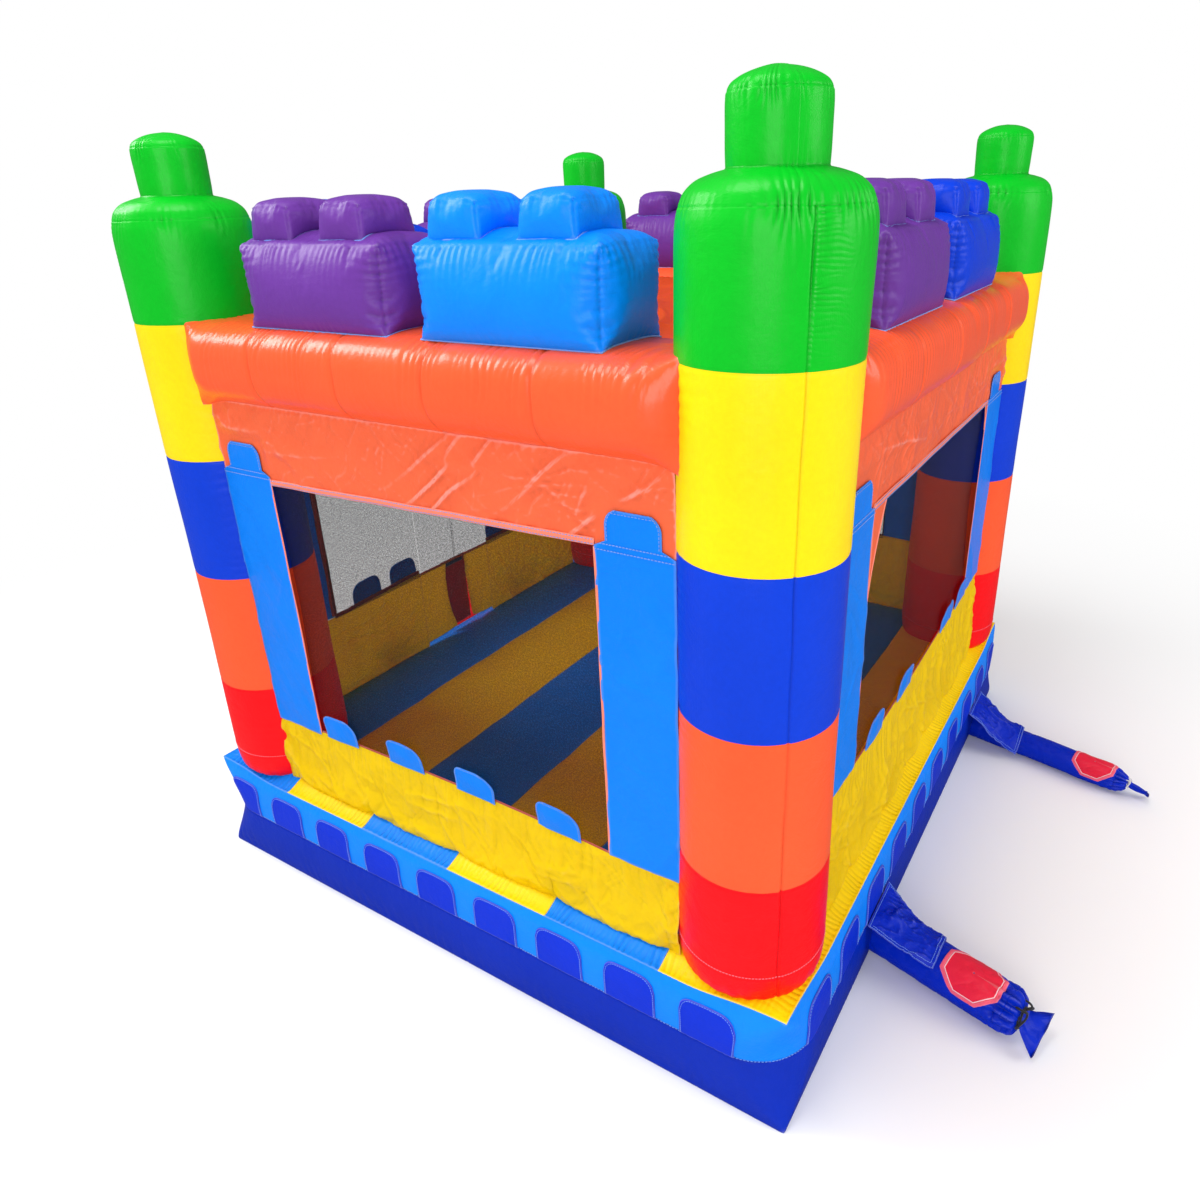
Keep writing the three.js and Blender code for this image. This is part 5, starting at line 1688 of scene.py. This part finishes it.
def build_cover_flaps():
    """A flap sewn to the base over each tube, lying on the tube and wrapped over it."""
    for number, name in enumerate(("near", "far")):
        root, tie, ahead, across = tube_axes(name)
        radius = root[2] + 0.005
        low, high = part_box(f"cover_flap_{name}")
        middle, half = (low.y + high.y) / 2, (high.y - low.y) / 2
        sewn_x, sewn_z = TOP_X + GROUND_INSET + SIDE_BULGE - 0.003, high.z
        length = high.x - low.x - 0.005
        u = np.linspace(-1, 1, 76)[None, :]
        v = np.linspace(0, 1, 72)[:, None]
        # the free end, bent over the tube, then straight on past `bend`
        tube_y = root[1] + (sewn_x + length - root[0]) * ahead[1] / ahead[0]
        offset = middle + u * half - tube_y
        bend = 1.45 if name == "near" else 1.05
        turn = np.clip(offset / radius, -bend, bend)
        extra = offset - turn * radius
        end_y = tube_y + radius * np.sin(turn) + extra * np.cos(turn)
        end_z = root[2] - 0.002 + radius * np.cos(turn) - np.abs(extra) * np.sin(bend)
        ease = 1 - (1 - v) ** 1.4
        x = sewn_x + length * v + 0.012 * v * (1 - u ** 2)
        y = (middle + u * half) * (1 - ease) + end_y * ease
        z = sewn_z * (1 - ease) + np.maximum(end_z, 0.012) * ease
        seed = 700 + number
        loose = smooth(0.0, 0.2, v)
        lift = 0.016 * ridges(u * 1.7 + v * 1.1, v * 2.6 - u * 0.8, seed)
        lift = lift + 0.007 * ridges(u * 4 - v * 2, v * 5 + u, seed + 5)
        lift = lift + 0.010 * np.exp(-(((u - 0.85) / 0.22) ** 2)) * np.sin(np.pi * v) ** 2
        z = z + lift * loose * (1 - 0.45 * v)
        grid = np.stack([x + 0 * z, y + 0 * z, z], -1)
        obj = add_sheet(f"sleeve_cover_{name}", grid, TUBE_BLUE, 0.003)
        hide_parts(f"cover_flap_{name}")
        bundle = Bundle()
        normal = grid_normals(grid)
        if normal[30, 30, 2] < 0:
            normal = -normal
        for inset in (1, 4):
            rim = [grid[inset:-inset, inset], grid[-1 - inset, inset:-inset], grid[inset:-inset, -1 - inset][::-1]]
            ups = [normal[inset:-inset, inset], normal[-1 - inset, inset:-inset],
                   normal[inset:-inset, -1 - inset][::-1]]
            path, up = np.concatenate(rim), np.concatenate(ups)
            add_stitches(bundle, path + up * 0.0018, up, dash=0.0075, pitch=0.009, width=0.0022)
        add_stitches(bundle, grid[2, 2:-2] + normal[2, 2:-2] * 0.0018, normal[2, 2:-2], dash=0.0075, pitch=0.009,
                     width=0.0022)
        seam = bundle.build(f"sleeve_cover_stitches_{name}", PALE_THREAD)
        for piece in (obj, seam):
            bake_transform(piece)


# ----------------------------------------------------------------------- stage


def build_stage():
    """A pale floor that fades to white away from the house, and soft studio light."""
    mesh = bpy.data.meshes.new("studio_floor")
    size = 60.0
    mesh.from_pydata([(-size, -size, 0), (size, -size, 0), (size, size, 0), (-size, size, 0)], [], [(0, 1, 2, 3)])
    floor = bpy.data.objects.new("studio_floor", mesh)
    bpy.context.scene.collection.objects.link(floor)
    material, nodes, links, shader = new_material("studio_floor")
    shader.inputs["Base Color"].default_value = (0.93, 0.93, 0.93, 1)
    shader.inputs["Roughness"].default_value = 0.9
    shader.inputs["Specular IOR Level"].default_value = 0.1
    white = add_node(nodes, "ShaderNodeEmission", Strength=1.0)
    place = nodes.new("ShaderNodeNewGeometry").outputs["Position"]
    far = add_node(nodes, "ShaderNodeVectorMath", operation="LENGTH")
    links.new(place, far.inputs[0])
    fade = add_node(nodes, "ShaderNodeMapRange", interpolation_type="SMOOTHSTEP")
    fade.inputs["From Min"].default_value = 2.2
    fade.inputs["From Max"].default_value = 6.5
    links.new(far.outputs["Value"], fade.inputs["Value"])
    blend = nodes.new("ShaderNodeMixShader")
    links.new(fade.outputs["Result"], blend.inputs[0])
    links.new(shader.outputs[0], blend.inputs[1])
    links.new(white.outputs[0], blend.inputs[2])
    # a darker ground in reflections keeps the vinyl's colours deep
    rays = nodes.new("ShaderNodeLightPath")
    dim = math_node(nodes, links, "MULTIPLY", rays.outputs["Is Glossy Ray"], 0.88)
    dark = add_node(nodes, "ShaderNodeBsdfDiffuse", Color=(0.02, 0.02, 0.02, 1))
    reflected = nodes.new("ShaderNodeMixShader")
    links.new(dim, reflected.inputs[0])
    links.new(blend.outputs[0], reflected.inputs[1])
    links.new(dark.outputs[0], reflected.inputs[2])
    links.new(reflected.outputs[0], nodes["Material Output"].inputs["Surface"])
    mesh.materials.append(material)

    world = bpy.data.worlds.new("studio")
    bpy.context.scene.world = world
    world.use_nodes = True
    nodes, links = world.node_tree.nodes, world.node_tree.links
    rays = nodes.new("ShaderNodeLightPath")
    reflected = math_node(nodes, links, "MULTIPLY", rays.outputs["Is Glossy Ray"], -0.42)
    seen = math_node(nodes, links, "MULTIPLY", rays.outputs["Is Camera Ray"], 0.42)
    strength = math_node(nodes, links, "ADD", math_node(nodes, links, "ADD", reflected, seen), 0.58)
    nodes["Background"].inputs["Color"].default_value = (1.0, 1.0, 1.0, 1)
    links.new(strength, nodes["Background"].inputs["Strength"])

    def area(name, place, target, size, power):
        light = bpy.data.lights.new(name, "AREA")
        light.shape = "SQUARE"
        light.size = size
        light.energy = power
        obj = bpy.data.objects.new(name, light)
        obj.location = place
        obj.rotation_mode = "QUATERNION"
        obj.rotation_quaternion = (Vector(target) - Vector(place)).to_track_quat("-Z", "Y")
        bpy.context.scene.collection.objects.link(obj)

    area("key_light", (-7.5, -3.0, 7.5), (0, 0, 1.8), 4.0, 520)
    area("top_light", (-0.5, -2.5, 8.5), (0, 0, 1.5), 3.0, 260)
    area("front_light", (3.5, -9.0, 4.0), (0, 0, 1.5), 5.0, 380)
    area("right_light", (9.5, 1.0, 5.0), (0, 0, 1.2), 5.0, 340)
    bpy.context.scene.view_settings.view_transform = "Standard"
    bpy.context.scene.view_settings.look = "None"


def build_camera():
    """The photograph's viewpoint, solved from the house's own straight edges."""
    scale = TOP_X + GROUND_INSET
    yaw, pitch, roll = -0.5661, 0.4020, -0.0308
    forward = Vector((math.cos(pitch) * math.sin(yaw), math.cos(pitch) * math.cos(yaw), -math.sin(pitch)))
    level = forward.cross(Vector((0, 0, 1))).normalized()
    upright = level.cross(forward)
    right = math.cos(roll) * level + math.sin(roll) * upright
    up = -math.sin(roll) * level + math.cos(roll) * upright
    data = bpy.data.cameras.new("camera")
    data.sensor_width = 36.0
    data.lens = 25.95
    data.shift_x = -0.0323
    data.shift_y = -0.0209
    camera = bpy.data.objects.new("camera", data)
    camera.matrix_world = Matrix((
        (right.x, up.x, -forward.x, 1.4535 * scale),
        (right.y, up.y, -forward.y, -2.3562 * scale),
        (right.z, up.z, -forward.z, 1.9682 * scale),
        (0, 0, 0, 1),
    ))
    bpy.context.scene.collection.objects.link(camera)
    bpy.context.scene.camera = camera


build_base()
build_arches()
build_base_stitches()
build_floor()
build_columns()
build_beams()
build_bricks()
build_skirts()
build_headers()
build_strips()
build_gussets()
build_nets()
build_window_trim()
build_sill_studs()
build_roof()
build_door()
build_ramp()
build_tubes()
build_cover_flaps()
finish_piece(threads["house"].build("stitches", PALE_THREAD), "house", "pale_cord")
finish_piece(red_threads.build("stitches_column_feet", PINK_THREAD), "house", "pale_cord")
finish_piece(pale_piping.build("piping", PALE_THREAD), "house", "pale_cord")
build_stage()
build_camera()
